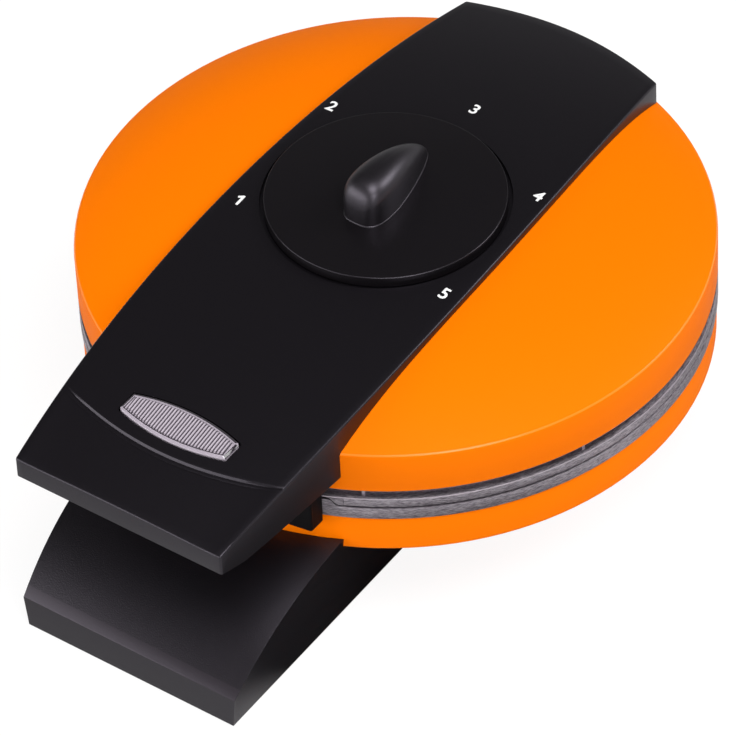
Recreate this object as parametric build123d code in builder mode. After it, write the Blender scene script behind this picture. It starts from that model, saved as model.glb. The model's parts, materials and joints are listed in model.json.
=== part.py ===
from build123d import *
from math import cos, radians, sin, sqrt
import os

# A heart waffle maker, in millimetres. +Z is up, the handles point to -Y and the hinge is at +Y.
# It is drawn about the round body's axis. Each piece is then moved along Y on its way to its file, so
# that the origin lies on the table under the middle of the footprint.

# Round body: two domed shells with a pair of cast plates between them
body_radius = 112.0
base_radius = 111.5
dome_rise = 15.0
dome_power = 4
shell_wall = 1.8
shoulder_round = 1.6
lid_shoulder_z = 81.3
lid_lip_z = 64.5
lid_screw_seat = 90.6
base_rim_z = 51.6
base_shoulder_z = 36.5
seat_gap = 0.15

# Longer than any piece, for cuts that go right through
far = 200.0

# Baking plates, which meet at the parting plane
parting_z = 56.6
parting_gap = 0.6
plate_wall_radius = 108.0
plate_back = 11.3
cavity_depth = 8.3
divider_drop = 2.2
peg_height = 6.0
peg_size = 6.6
peg_pitch = 10.6
peg_margin = 2.4
peg_middle_x = 45.0
hearts = 5
lobe_radius = 18.6
lobe_offset = 16.6
divider_half = 3.0
groove_inner = 94.0
groove_outer = 103.0
groove_depth = 3.3
land_step = 0.3
field_radius = 86.0
back_radius = 88.0
rim_wall = 3.5
rim_back_step = 5.0
plate_boss = 5.2
pillar_radius = 3.5
heater_rib = 2.0
heater_rib_height = 4.0
ledge_top_z = 60.8
post_angles = (-61, -20, 33)
post_height = 5.0
tab_rise = 2.9
tab_half = 47.0
tab_flat_half = 43.2

# Band over the lid, which becomes the upper handle
band_front = -162.0
band_stations = [-135, -105, -70, -35, 0, 35, 70, 112]
band_rear_radius = 111.0
band_crown = 0.8
band_skin = 2.5
handle_under_z = 70.8
handle_lip_z = 73.2
handle_lip_y = -151.0
cover_z = 71.8
cover_thick = 2.0

# Guard block under the upper handle
block_half = 41.7
block_bottom_z = 49.3
block_middle_z = 52.4
block_cheek = 30.0
block_front = -111.0
block_bow = 3.5
block_flange = 2.0

# Dial on the lid, and the thermostat under it
dial_y = -4.6
dial_radius = 42.3
dial_recess_radius = 44.0
dial_top_z = 101.3
dial_bottom_z = 97.4
recess_floor_z = 96.8
sunk_radius = 47.0
sunk_z = 95.3
hub_radius = 6.5
shaft_radius = 3.0
shaft_flat = 2.2
shaft_top_z = 98.0
dial_wall = 2.0
dial_skin = 1.8
dial_edge = 0.8
cup_wall = 3.0
grip_sections = [(-22.4, 3.0, 6.0), (-21.6, 5.2, 10.5), (-20, 6.7, 13.6), (-17, 7.8, 15.3), (-13, 8.3, 16.0),
                 (-8, 8.3, 16.1), (-2, 7.4, 15.4), (5, 5.8, 13.6), (12, 4.0, 10.5), (17, 2.4, 6.9), (19.6, 1.2, 3.4)]
grip_flank = 0.49
grip_shoulder = (0.79, 0.89)

# Pilot lens in the handle
lens_y = -126.0
lens_half_length = 22.6
lens_half_width = 7.0
lens_end_half = 3.0
lens_proud = 0.3

# Stand, which becomes the lower handle
foot_lift = 0.8
stand_front = -163.0
stand_rear = 122.0
stand_side = 50.0
stand_rear_corner_y = 106.0
stand_lip_z = 13.8
stand_top_z = 40.3
stand_rear_z = 49.0
stand_half = 43.6
stand_flare = 0.1
stand_wall = 2.5
stand_arc_middle = (-140.0, 30.0)
stand_arc_end = -103.0
stand_rise = [(92.0, 40.3), (103.0, 49.0)]
cover_recess = 0.8
cover_plate = 2.0
foot_radius = 7.0

# Gland for the mains cord in the stand's rear wall, which is the rearmost point
gland_rear = 124.4
gland_z = 14.0
gland_hole_radius = 5.0
gland_flange_radius = 7.0
gland_flange = 2.3
origin_shift = -(stand_front + gland_rear) / 2

# Hinge
hinge_y = 118.0
hinge_z = 57.0
knuckle_radius = 5.5
pin_radius = 2.0
lug_half = 14.6
ear_inner = 15.2
ear_outer = 25.6
ear_front = 112.5
ear_foot_rear = 118.0
ear_flange_z = 51.3
ear_flange_end = 35.5

# Screws in three sizes: shank, head, tapped hole and clearance hole
large_shank = 1.9
large_head = 3.7
large_tap = 1.95
large_clear = 2.1
small_shank = 1.25
small_head = 2.8
small_tap = 1.3
small_clear = 1.6
fine_shank = 1.2
fine_head = 2.6
fine_tap = 1.25
large_boss = 5.0
small_boss = 4.0
shell_pad = 6.5

# Where the fasteners are
clamp_points = [(28, 70), (-28, 70), (28, -70), (-28, -70)]
band_points = [(22, dial_y + 21), (-22, dial_y + 21), (22, dial_y - 21), (-22, dial_y - 21)]
cover_points = [(30, -135), (-30, -135), (30, 86), (-30, 86)]
ear_points = [(30.8, 111.6), (-30.8, 111.6)]
foot_points = [(31, -149), (-31, -149), (30, 103), (-30, 103)]
under_points = [(33, -146), (-33, -146), (38, -120), (-38, -120)]
block_points = [(28, -117.5), (-28, -117.5)]
pillar_points = [(35 * cos(radians(a)), 35 * sin(radians(a))) for a in (90, 210, 330)]
bracket_points = [(0, dial_y + 21), (0, dial_y - 21)]

# Heaters and the reflectors behind them
heater_ring = 55.0
heater_radius = 3.2
heater_gap = 3.4
heater_bend = 7.0
heater_tail = 3.5
heater_open = 18.0
reflector_radius = 84.0
reflector_thick = 0.6
reflector_drop = 11.0
reflector_screw = 7.0

os.makedirs("parts", exist_ok=True)


def save(block, name):
    # Move a finished sub-part to the part's origin, label it and write it as its own file
    placed = block.part.moved(Location((0, origin_shift, 0)))
    placed.label = name
    export_step(placed, "parts/" + name + ".step")


def band_half_width(y):
    # The band's long edges bow outwards, widest a little ahead of the dial
    u = y / 100
    return 49.33 - 3.40 * u - 4.59 * u * u


def band_edge_z(y):
    # The band's arch, which falls faster towards the handle than towards the hinge
    u = y / 100
    return 98.7 + 0.55 * u - 5.85 * u ** 2 - 0.78 * u ** 3 - 0.63 * u ** 4


def dome(radius, steps=6):
    # Points from the crown to the shoulder: nearly flat in the middle, steeper at the rim
    return [(radius * k / steps, dome_rise * (1 - (k / steps) ** dome_power)) for k in range(steps + 1)]


def lid_form(grow, bottom):
    # The lid's outer shape as a solid, swollen or shrunk by a wall thickness
    radius = body_radius + grow
    top = lid_shoulder_z + grow
    with BuildPart() as form:
        with BuildSketch(Plane.XZ):
            with BuildLine():
                skin = Spline(*[(r, top + h) for r, h in dome(radius)])
                Polyline(skin @ 1, (radius, bottom), (0, bottom), skin @ 0)
            make_face()
        revolve(axis=Axis.Z)
    return form.part


def base_form(grow, top):
    # The base's outer shape as a solid: the lid's dome turned over
    radius = base_radius + grow
    low = base_shoulder_z - grow
    with BuildPart() as form:
        with BuildSketch(Plane.XZ):
            with BuildLine():
                skin = Spline(*[(r, low - h) for r, h in dome(radius)])
                Polyline(skin @ 1, (radius, top), (0, top), skin @ 0)
            make_face()
        revolve(axis=Axis.Z)
    return form.part


def band_form(inset, bottom):
    # The band's outer shape, drawn in on every side but the bottom
    with BuildPart() as form:
        for y in [band_front + inset] + band_stations:
            half = band_half_width(y) - inset
            edge = band_edge_z(y) - inset
            with BuildSketch(Plane.XZ.offset(-y)):
                with BuildLine():
                    Line((-half, bottom), (half, bottom))
                    Line((half, bottom), (half, edge))
                    ThreePointArc((half, edge), (0, edge + band_crown), (-half, edge))
                    Line((-half, edge), (-half, bottom))
                make_face()
        loft()
        with BuildSketch(Plane.XY.offset(bottom)):
            with Locations((0, -far / 2)):
                Rectangle(far, far)
            Circle(band_rear_radius - inset)
        extrude(amount=far, mode=Mode.INTERSECT)
    return form.part


def stand_form(inset, bottom):
    # The stand's outer shape: side profile, flared sides and a bowed rear end
    with BuildPart() as form:
        with BuildSketch(Plane.YZ):
            with BuildLine():
                Line((stand_front, bottom), (stand_front, stand_lip_z))
                ThreePointArc((stand_front, stand_lip_z), stand_arc_middle, (stand_arc_end, stand_top_z))
                Polyline((stand_arc_end, stand_top_z), *stand_rise, (stand_rear, stand_rear_z),
                         (stand_rear, bottom), (stand_front, bottom))
            make_face()
            if inset:
                offset(amount=-inset, kind=Kind.INTERSECTION)
        extrude(amount=far, both=True)
        low = stand_half - inset - stand_flare * far
        high = stand_half - inset + stand_flare * far
        with BuildSketch(Plane.XZ):
            with BuildLine():
                Polyline((-low, foot_lift - far), (low, foot_lift - far), (high, foot_lift + far),
                         (-high, foot_lift + far), close=True)
            make_face()
        extrude(amount=far, both=True, mode=Mode.INTERSECT)
        with BuildSketch(Plane.XY.offset(-far)):
            with BuildLine():
                bow = ThreePointArc((stand_side, stand_rear_corner_y - inset), (0, stand_rear - inset),
                                    (-stand_side, stand_rear_corner_y - inset))
                Polyline(bow @ 1, (-stand_side, -far), (stand_side, -far), bow @ 0)
            make_face()
        extrude(amount=2 * far, mode=Mode.INTERSECT)
    return form.part


def posts(points, radius, low, high):
    # Round posts standing between two heights
    with BuildPart() as group:
        with Locations([(x, y, low) for x, y in points]):
            Cylinder(radius, high - low, align=(Align.CENTER, Align.CENTER, Align.MIN))
    return group.part


def screws(points, seat, length, shank, head, rise, down):
    # Cross-head screws: the head's seat is at one height, and the shank runs on from it
    way = -1 if down else 1
    with BuildPart() as group:
        for x, y in points:
            with BuildSketch(Plane.XY.offset(seat)):
                with Locations((x, y)):
                    Circle(shank)
            extrude(amount=way * length)
            with BuildSketch(Plane.XY.offset(seat)):
                with Locations((x, y)):
                    Circle(head)
            extrude(amount=-way * rise)
            with BuildSketch(Plane.XY.offset(seat - way * rise)):
                with Locations((x, y)):
                    Rectangle(1.3 * head, 0.3 * head)
                    Rectangle(0.3 * head, 1.3 * head)
            extrude(amount=way * 0.55 * rise, mode=Mode.SUBTRACT)
    return group.part


def heater(ring_z, way):
    # One bent tube: most of a ring, with both ends turned away from the plate
    lines = []
    for side in (1, -1):
        a = radians(90 - side * heater_open)
        end = Vector(heater_ring * cos(a), heater_ring * sin(a), ring_z)
        run = Vector(-side * sin(a), side * cos(a), 0)
        away = Vector(0, 0, way)
        half = end + run * (heater_bend * sin(radians(45))) + away * (heater_bend * (1 - cos(radians(45))))
        turn = end + run * heater_bend + away * heater_bend
        lines.append((end, half, turn, turn + away * heater_tail))
    with BuildPart() as tube:
        with BuildLine() as path:
            first, last = lines
            Line(first[3], first[2])
            ThreePointArc(first[2], first[1], first[0])
            ThreePointArc(first[0], Vector(0, -heater_ring, ring_z), last[0])
            ThreePointArc(last[0], last[1], last[2])
            Line(last[2], last[3])
        with BuildSketch(Plane(first[3], z_dir=Vector(0, 0, -way))):
            Circle(heater_radius)
        sweep()
    return tube.part, [line[3] for line in lines]


def terminals(ends, way):
    # Ceramic beads over the heater's cold ends
    with BuildPart() as beads:
        for end in ends:
            with BuildSketch(Plane(end, z_dir=Vector(0, 0, way))):
                Circle(heater_radius + 0.9)
            extrude(amount=3)
            with BuildSketch(Plane(end, z_dir=Vector(0, 0, way))):
                Rectangle(1.0, 4.8)
            extrude(amount=5)
    return beads.part


def reflector(height, openings):
    # A pressed disc with a turned rim and clearance holes
    with BuildPart() as disc:
        with BuildSketch(Plane.XY.offset(height)):
            Circle(reflector_radius)
            for points, radius in openings:
                with Locations(points):
                    Circle(radius, mode=Mode.SUBTRACT)
        extrude(amount=reflector_thick)
        with BuildSketch(Plane.XY.offset(height)):
            Circle(reflector_radius)
            Circle(reflector_radius - reflector_thick, mode=Mode.SUBTRACT)
        extrude(amount=3.0)
    return disc.part


def heart_outline():
    # One heart with its point near the plate's centre and its lobes at the rim
    half = radians(180 / hearts)
    lobe_x = (lobe_radius + divider_half + lobe_offset * cos(half)) / sin(half)
    point = (divider_half / sin(half), 0)
    side = (lobe_x - lobe_radius * sin(half), lobe_offset + lobe_radius * cos(half))
    outer = (lobe_x + lobe_radius * cos(half), lobe_offset + lobe_radius * sin(half))
    notch = (lobe_x + sqrt(lobe_radius ** 2 - lobe_offset ** 2), 0)
    with BuildSketch() as heart:
        with BuildLine():
            Line(point, side)
            ThreePointArc(side, outer, notch)
            ThreePointArc(notch, (outer[0], -outer[1]), (side[0], -side[1]))
            Line((side[0], -side[1]), point)
        make_face()
    return heart.sketch


def heart_pegs(outline):
    # Square pegs inside one heart, trimmed a little inside its outline
    with BuildSketch() as inner:
        add(outline)
        offset(amount=-peg_margin)
    with BuildSketch() as pegs:
        with Locations((peg_middle_x, 0)):
            with GridLocations(peg_pitch, peg_pitch, 7, 7):
                Rectangle(peg_size, peg_size)
        add(inner.sketch, mode=Mode.INTERSECT)
    return pegs.sketch


heart = heart_outline()
pegs = heart_pegs(heart)
land_z = parting_z - parting_gap / 2
back_z = parting_z - plate_back
floor_z = parting_z - cavity_depth
divider_z = land_z - divider_drop


def baking_plate(flange_low, wall_radius):
    # A cast plate that faces up: rim, overflow groove, hearts with pegs, and ribs that hold the heater
    with BuildPart() as plate:
        with BuildSketch(Plane.XZ):
            with BuildLine():
                Polyline((0, back_z), (back_radius, back_z), (back_radius + 2.5, back_z + rim_back_step),
                         (wall_radius - rim_wall, back_z + rim_back_step),
                         (wall_radius - rim_wall, back_z + 1), (wall_radius, back_z + 1),
                         (wall_radius, flange_low), (body_radius, flange_low), (body_radius, land_z),
                         (groove_outer, land_z), (groove_outer - 1.5, land_z - groove_depth),
                         (groove_inner + 1.5, land_z - groove_depth), (groove_inner, land_z - land_step),
                         (field_radius, land_z - land_step), (field_radius - 1.5, divider_z),
                         (0, divider_z), close=True)
            make_face()
        revolve(axis=Axis.Z)
        with BuildSketch(Plane.XY.offset(floor_z)):
            with PolarLocations(0, hearts, start_angle=90):
                add(heart)
        extrude(amount=divider_z - floor_z, taper=-8, mode=Mode.SUBTRACT)
        with BuildSketch(Plane.XY.offset(floor_z)):
            with PolarLocations(0, hearts, start_angle=90):
                add(pegs)
        extrude(amount=peg_height, taper=6)
        with BuildSketch(Plane.XY.offset(back_z)):
            for middle in (heater_ring - heater_radius - 1.3, heater_ring + heater_radius + 1.3):
                Circle(middle + heater_rib / 2)
                Circle(middle - heater_rib / 2, mode=Mode.SUBTRACT)
        extrude(amount=-heater_rib_height)
    return plate.part


# Stand with the lower handle: a hood open underneath, cradling the base shell
with BuildPart() as stand_void:
    add(stand_form(stand_wall, -15))
    add(base_form(stand_wall + seat_gap, 60), mode=Mode.SUBTRACT)

with BuildPart() as stand_bosses:
    add(posts(clamp_points, large_boss, 18, 42))
    add(posts(cover_points, small_boss, foot_lift + cover_recess + cover_plate, 42))
    add(posts(ear_points, small_boss, 38, 48))
    add(stand_form(1.0, -15), mode=Mode.INTERSECT)

with BuildPart() as stand_band:
    add(stand_form(0, foot_lift))
    add(stand_void.part, mode=Mode.SUBTRACT)
    add(stand_bosses.part)
    add(base_form(seat_gap, 60), mode=Mode.SUBTRACT)
    add(posts(clamp_points, large_clear, 10, 42), mode=Mode.SUBTRACT)
    add(posts(cover_points, small_tap, foot_lift, 14), mode=Mode.SUBTRACT)
    add(posts(ear_points, small_tap, 37, 50), mode=Mode.SUBTRACT)
    with BuildSketch(Plane.XZ.offset(-110)):
        with Locations((0, gland_z)):
            Circle(gland_hole_radius)
    extrude(amount=-20, mode=Mode.SUBTRACT)
save(stand_band, "stand_band")

# Cover that closes the stand from below, with holes for the feet and screws
with BuildPart() as stand_cover:
    add(stand_form(stand_wall + 0.3, -15))
    with BuildSketch(Plane.XY.offset(foot_lift + cover_recess)):
        Rectangle(far, 2 * far)
        with Locations(foot_points):
            Circle(2.5, mode=Mode.SUBTRACT)
        with Locations(cover_points):
            Circle(1.6, mode=Mode.SUBTRACT)
    extrude(amount=cover_plate, mode=Mode.INTERSECT)
    add(posts(cover_points, small_head + 0.4, foot_lift + cover_recess, foot_lift + 2.0), mode=Mode.SUBTRACT)
save(stand_cover, "stand_cover")

with BuildPart() as cover_screws:
    add(screws(cover_points, foot_lift + 2.0, 11, small_shank, small_head, 1.1, False))
save(cover_screws, "cover_screws")

# Rubber feet: a pad, a stem through the cover and a barb that holds it
with BuildPart() as rubber_feet:
    add(posts(foot_points, foot_radius, 0, foot_lift + cover_recess))
    add(posts(foot_points, 2.4, foot_lift + cover_recess, foot_lift + 3))
    add(posts(foot_points, 3.4, foot_lift + cover_recess + cover_plate, foot_lift + 4.2))
    pad_rims = rubber_feet.edges().filter_by(GeomType.CIRCLE).filter_by(lambda e: e.radius > foot_radius / 2)
    fillet(pad_rims.group_by(Axis.Z)[0], 0.6)
save(rubber_feet, "rubber_feet")

# Base shell, with inner pads where the clamping screws pass
with BuildPart() as base_pads:
    add(posts(clamp_points, shell_pad, 20, 29))
    add(base_form(-0.5, 60), mode=Mode.INTERSECT)

with BuildPart() as base_shell:
    add(base_form(0, base_rim_z))
    fillet(base_shell.edges().filter_by(GeomType.CIRCLE).group_by(Axis.Z)[-2], shoulder_round)
    add(base_form(-shell_wall, 60), mode=Mode.SUBTRACT)
    add(base_pads.part)
    add(posts(clamp_points, large_clear, 10, 40), mode=Mode.SUBTRACT)
    add(posts([(0, 60)], 5, 10, 40), mode=Mode.SUBTRACT)
save(base_shell, "base_shell")

# Lower baking plate, with bosses for the clamping screws, pillars for the reflector and a front tab
with BuildPart() as front_tab:
    with BuildSketch(Plane.XZ.offset(90)):
        with BuildLine():
            rise = Spline((-tab_half, land_z), (-tab_flat_half, land_z + tab_rise), tangents=[(1, 0), (1, 0)])
            fall = Spline((tab_flat_half, land_z + tab_rise), (tab_half, land_z), tangents=[(1, 0), (1, 0)])
            Line(rise @ 1, fall @ 0)
            Polyline(fall @ 1, (tab_half, land_z - 1), (-tab_half, land_z - 1), rise @ 0)
        make_face()
    extrude(amount=30)
    with BuildSketch(Plane.XY.offset(20)):
        Circle(body_radius)
        Circle(plate_wall_radius + 0.7, mode=Mode.SUBTRACT)
    extrude(amount=60, mode=Mode.INTERSECT)

with BuildPart() as lower_plate:
    add(baking_plate(base_rim_z, plate_wall_radius + 0.5))
    add(posts(clamp_points, plate_boss, 29, back_z + 1))
    add(posts(pillar_points, pillar_radius, back_z - reflector_drop, back_z + 1))
    add(front_tab.part)
    add(posts(clamp_points, large_tap, 28, 39), mode=Mode.SUBTRACT)
    add(posts(pillar_points, fine_tap, back_z - reflector_drop - 1, back_z - 2), mode=Mode.SUBTRACT)
save(lower_plate, "lower_plate")

with BuildPart() as base_screws:
    add(screws(clamp_points, 18, 20, large_shank, large_head, 2.4, False))
save(base_screws, "base_screws")

# Lower heater, its terminals and the reflector below it
lower_tube, lower_ends = heater(back_z - heater_gap, -1)
with BuildPart() as lower_heater:
    add(lower_tube)
save(lower_heater, "lower_heater")

with BuildPart() as lower_terminals:
    add(terminals(lower_ends, -1))
save(lower_terminals, "lower_terminals")

reflector_holes = [(clamp_points, 5.8), (pillar_points, 1.5), ([(e.X, e.Y) for e in lower_ends], 4.6)]
with BuildPart() as lower_reflector:
    add(reflector(back_z - reflector_drop - reflector_thick, reflector_holes))
save(lower_reflector, "lower_reflector")

with BuildPart() as lower_reflector_screws:
    lower_seat = back_z - reflector_drop - reflector_thick
    add(screws(pillar_points, lower_seat, reflector_screw, fine_shank, fine_head, 1.4, False))
save(lower_reflector_screws, "lower_reflector_screws")

# Mains terminal block on the stand's cover, and the gland in the stand's rear wall
with BuildPart() as terminal_block:
    with Locations((0, 94, foot_lift + cover_recess + cover_plate)):
        Box(34, 14, 10, align=(Align.CENTER, Align.CENTER, Align.MIN))
    with Locations((0, 94, foot_lift + cover_recess + cover_plate + 10)):
        with GridLocations(11, 1, 3, 1):
            Box(7, 14, 4, align=(Align.CENTER, Align.CENTER, Align.MAX), mode=Mode.SUBTRACT)
            Cylinder(2, 4, align=(Align.CENTER, Align.CENTER, Align.MAX))
save(terminal_block, "terminal_block")

with BuildPart() as cord_gland:
    with BuildSketch(Plane.XZ.offset(-116)):
        with Locations((0, gland_z)):
            Circle(gland_hole_radius - 0.1)
    extrude(amount=-(gland_rear - 116))
    for near, thick in ((-117.1, 1.8), (gland_flange - gland_rear, gland_flange)):
        with BuildSketch(Plane.XZ.offset(near)):
            with Locations((0, gland_z)):
                Circle(gland_flange_radius)
        extrude(amount=-thick)
    with BuildSketch(Plane.XZ.offset(-110)):
        with Locations((0, gland_z)):
            Circle(3.6)
    extrude(amount=-20, mode=Mode.SUBTRACT)
save(cord_gland, "cord_gland")

# Hinge ears, screwed down on the stand's rear ledge, one each side of the lid's lug
with BuildPart() as hinge_ears:
    with BuildSketch(Plane.YZ):
        with BuildLine():
            Polyline((ear_front, stand_rear_z), (ear_foot_rear, stand_rear_z),
                     (hinge_y + knuckle_radius, hinge_z), (ear_front, hinge_z), close=True)
        make_face()
        with Locations((hinge_y, hinge_z)):
            Circle(knuckle_radius)
    extrude(amount=ear_outer, both=True)
    with BuildSketch(Plane.XY.offset(stand_rear_z)):
        with BuildLine():
            Polyline((-ear_flange_end, 108.5), (ear_flange_end, 108.5), (ear_flange_end, 113.2),
                     (ear_outer, ear_foot_rear), (-ear_outer, ear_foot_rear), (-ear_flange_end, 113.2),
                     close=True)
        make_face()
    extrude(amount=ear_flange_z - stand_rear_z)
    with Locations((0, hinge_y, hinge_z)):
        Box(2 * ear_inner, 30, 30, mode=Mode.SUBTRACT)
    add(base_form(seat_gap, ear_flange_z), mode=Mode.SUBTRACT)
    add(posts(ear_points, small_clear, 40, 60), mode=Mode.SUBTRACT)
    with BuildSketch(Plane.YZ):
        with Locations((hinge_y, hinge_z)):
            Circle(pin_radius)
    extrude(amount=far, both=True, mode=Mode.SUBTRACT)
save(hinge_ears, "hinge_ears")

with BuildPart() as ear_screws:
    add(screws(ear_points, ear_flange_z, 10, small_shank, small_head, 1.4, True))
save(ear_screws, "ear_screws")

# Hinge pin through the ears and the lid's lug, held by a cap at each end
with BuildPart() as hinge_pin:
    with BuildSketch(Plane.YZ):
        with Locations((hinge_y, hinge_z)):
            Circle(pin_radius)
    extrude(amount=ear_outer + 1.0, both=True)
save(hinge_pin, "hinge_pin")

with BuildPart() as hinge_caps:
    for side in (1, -1):
        with BuildSketch(Plane.YZ.offset(side * ear_outer)):
            with Locations((hinge_y, hinge_z)):
                Circle(3.4)
                Circle(pin_radius, mode=Mode.SUBTRACT)
        extrude(amount=side * 1.0)
save(hinge_caps, "hinge_caps")

# Lid shell, with a sunk seat for the dial's cup and pads for the lid screws
with BuildPart() as lid_pads:
    add(posts(clamp_points, shell_pad, 88, 99))
    add(posts([(0, dial_y)], sunk_radius + 1.5, sunk_z - shell_wall, 99))
    add(posts(band_points, small_boss, 89, 99))
    add(lid_form(-0.5, 60), mode=Mode.INTERSECT)

with BuildPart() as lid_shell:
    add(lid_form(0, lid_lip_z))
    fillet(lid_shell.edges().filter_by(GeomType.CIRCLE).group_by(Axis.Z)[1], shoulder_round)
    add(lid_form(-shell_wall, 50), mode=Mode.SUBTRACT)
    add(lid_pads.part)
    add(posts([(0, dial_y)], sunk_radius, sunk_z, 99), mode=Mode.SUBTRACT)
    add(posts([(0, dial_y)], hub_radius + 2.5, 80, 99), mode=Mode.SUBTRACT)
    add(posts(clamp_points, large_clear, 80, 99), mode=Mode.SUBTRACT)
    add(posts(clamp_points, large_head + 0.5, lid_screw_seat, 99), mode=Mode.SUBTRACT)
    add(posts(band_points, small_tap, 88, 99), mode=Mode.SUBTRACT)
    with BuildSketch(Plane.XZ.offset(100)):
        with Locations((0, 76)):
            Circle(4)
    extrude(amount=20, mode=Mode.SUBTRACT)
save(lid_shell, "lid_shell")

# Lens opening: a barrel-shaped outline square to the handle's top
lens_slope = (band_edge_z(lens_y + 0.5) - band_edge_z(lens_y - 0.5))
lens_plane = Plane((0, lens_y, band_edge_z(lens_y) + band_crown), x_dir=(1, 0, 0), z_dir=(0, -lens_slope, 1))


def lens_block(grow):
    # The lens outline as a short bar through the handle's top
    with BuildPart() as bar:
        with BuildSketch(lens_plane):
            with BuildLine():
                x = lens_half_length
                Polyline((x - 0.8, lens_end_half + 0.9), (x, lens_end_half), (x, -lens_end_half),
                         (x - 0.8, -lens_end_half - 0.9))
                ThreePointArc((x - 0.8, -lens_end_half - 0.9), (0, -lens_half_width),
                              (0.8 - x, -lens_end_half - 0.9))
                Polyline((0.8 - x, -lens_end_half - 0.9), (-x, -lens_end_half), (-x, lens_end_half),
                         (0.8 - x, lens_end_half + 0.9))
                ThreePointArc((0.8 - x, lens_end_half + 0.9), (0, lens_half_width),
                              (x - 0.8, lens_end_half + 0.9))
            make_face()
            if grow:
                offset(amount=grow)
        extrude(amount=8, both=True)
    return bar.part


# Band over the lid: an open-bottomed hood that sits on the dome and ends in the upper handle
with BuildPart() as band_void:
    add(band_form(band_skin, 60))
    add(posts([(0, dial_y)], dial_recess_radius + cup_wall, 60, 120), mode=Mode.SUBTRACT)

with BuildPart() as band_bosses:
    add(posts(under_points, small_boss, cover_z + cover_thick, 100))
    add(posts(block_points, small_boss, cover_z + cover_thick, 100))
    add(band_form(1.0, 60), mode=Mode.INTERSECT)

with BuildPart() as band_cup:
    add(posts([(0, dial_y)], dial_recess_radius + cup_wall - 1, sunk_z + seat_gap, recess_floor_z + 0.1))

with BuildPart() as lid_band:
    add(band_form(0, handle_under_z))
    with BuildSketch(Plane.YZ):
        with BuildLine():
            Polyline((band_front - 5, handle_under_z - 5), (band_front - 5, handle_lip_z + 1.1),
                     (handle_lip_y, handle_under_z), (handle_lip_y, handle_under_z - 5), close=True)
        make_face()
    extrude(amount=60, both=True, mode=Mode.SUBTRACT)
    add(band_void.part, mode=Mode.SUBTRACT)
    add(band_bosses.part)
    with BuildSketch(Plane.YZ):
        with BuildLine():
            Polyline((112.45, hinge_z), (112.45, 83), (109.4, 83), (109.4, 87.6), (112, 86.2), (121.5, 72),
                     (hinge_y + knuckle_radius, hinge_z), close=True)
        make_face()
        with Locations((hinge_y, hinge_z)):
            Circle(knuckle_radius)
    extrude(amount=lug_half, both=True)
    add(lid_form(seat_gap, 50), mode=Mode.SUBTRACT)
    add(band_cup.part)
    add(posts([(0, dial_y)], dial_recess_radius, recess_floor_z, 110), mode=Mode.SUBTRACT)
    add(posts([(0, dial_y)], hub_radius + 2.5, 90, 110), mode=Mode.SUBTRACT)
    add(lens_block(0.12), mode=Mode.SUBTRACT)
    add(posts(under_points + block_points, small_tap, 70, 81), mode=Mode.SUBTRACT)
    add(posts(band_points, small_clear, 90, 110), mode=Mode.SUBTRACT)
    with BuildSketch(Plane.YZ):
        with Locations((hinge_y, hinge_z)):
            Circle(pin_radius + 0.05)
    extrude(amount=40, both=True, mode=Mode.SUBTRACT)
save(lid_band, "lid_band")

with BuildPart() as band_screws:
    add(screws(band_points, recess_floor_z, 6, small_shank, small_head, 1.4, True))
save(band_screws, "band_screws")

# Cover under the upper handle
with BuildPart() as handle_undercover:
    with BuildSketch(Plane.YZ):
        with BuildLine():
            Polyline((-159.2, cover_z + 2.0), (handle_lip_y, cover_z), (-112.7, cover_z),
                     (-112.7, cover_z + cover_thick), (handle_lip_y, cover_z + cover_thick),
                     (-159.2, cover_z + cover_thick + 2.0), close=True)
        make_face()
    extrude(amount=60, both=True)
    add(band_form(band_skin + 0.3, 60), mode=Mode.INTERSECT)
    add(lid_form(0.5, 50), mode=Mode.SUBTRACT)
    add(posts(under_points + block_points, small_clear, 60, 90), mode=Mode.SUBTRACT)
    add(posts(under_points, small_head + 0.2, cover_z - 3, cover_z + 1.2), mode=Mode.SUBTRACT)
save(handle_undercover, "handle_undercover")

with BuildPart() as undercover_screws:
    add(screws(under_points, cover_z + 1.2, 7.5, small_shank, small_head, 1.2, False))
save(undercover_screws, "undercover_screws")

# Guard block: a wall that hangs before the plates, deeper at its two cheeks
with BuildPart() as handle_block:
    with BuildSketch(Plane.XY.offset(block_bottom_z)):
        with BuildLine():
            front = ThreePointArc((-block_half, block_front), (0, block_front - block_bow),
                                  (block_half, block_front))
            Polyline(front @ 1, (block_half, -95), (-block_half, -95), front @ 0)
        make_face()
    extrude(amount=cover_z - block_bottom_z)
    fillet(handle_block.edges().filter_by(Axis.Z).group_by(Axis.Y)[0], 1.0)
    with BuildSketch(Plane.XY.offset(40)):
        Circle(body_radius + 0.5)
    extrude(amount=40, mode=Mode.SUBTRACT)
    with Locations((0, -110, block_middle_z)):
        Box(2 * block_cheek, 30, 20, align=(Align.CENTER, Align.CENTER, Align.MAX), mode=Mode.SUBTRACT)
    with Locations((0, -117.6, cover_z)):
        Box(66, 9, block_flange, align=(Align.CENTER, Align.CENTER, Align.MAX))
    add(posts(block_points, small_clear, 60, 90), mode=Mode.SUBTRACT)
save(handle_block, "handle_block")

with BuildPart() as block_screws:
    add(screws(block_points, cover_z - block_flange, 9.5, small_shank, small_head, 1.6, False))
save(block_screws, "block_screws")

# Upper baking plate: the lower plate's casting turned over, with a ledge and posts that centre the lid shell
with BuildPart() as tab_notch:
    with BuildSketch(Plane.XY.offset(land_z)):
        Circle(body_radius + 1)
        Circle(plate_wall_radius, mode=Mode.SUBTRACT)
        with Locations((0, -100)):
            Rectangle(2 * tab_half + 2, 60, mode=Mode.INTERSECT)
    extrude(amount=tab_rise + 0.6)

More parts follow.
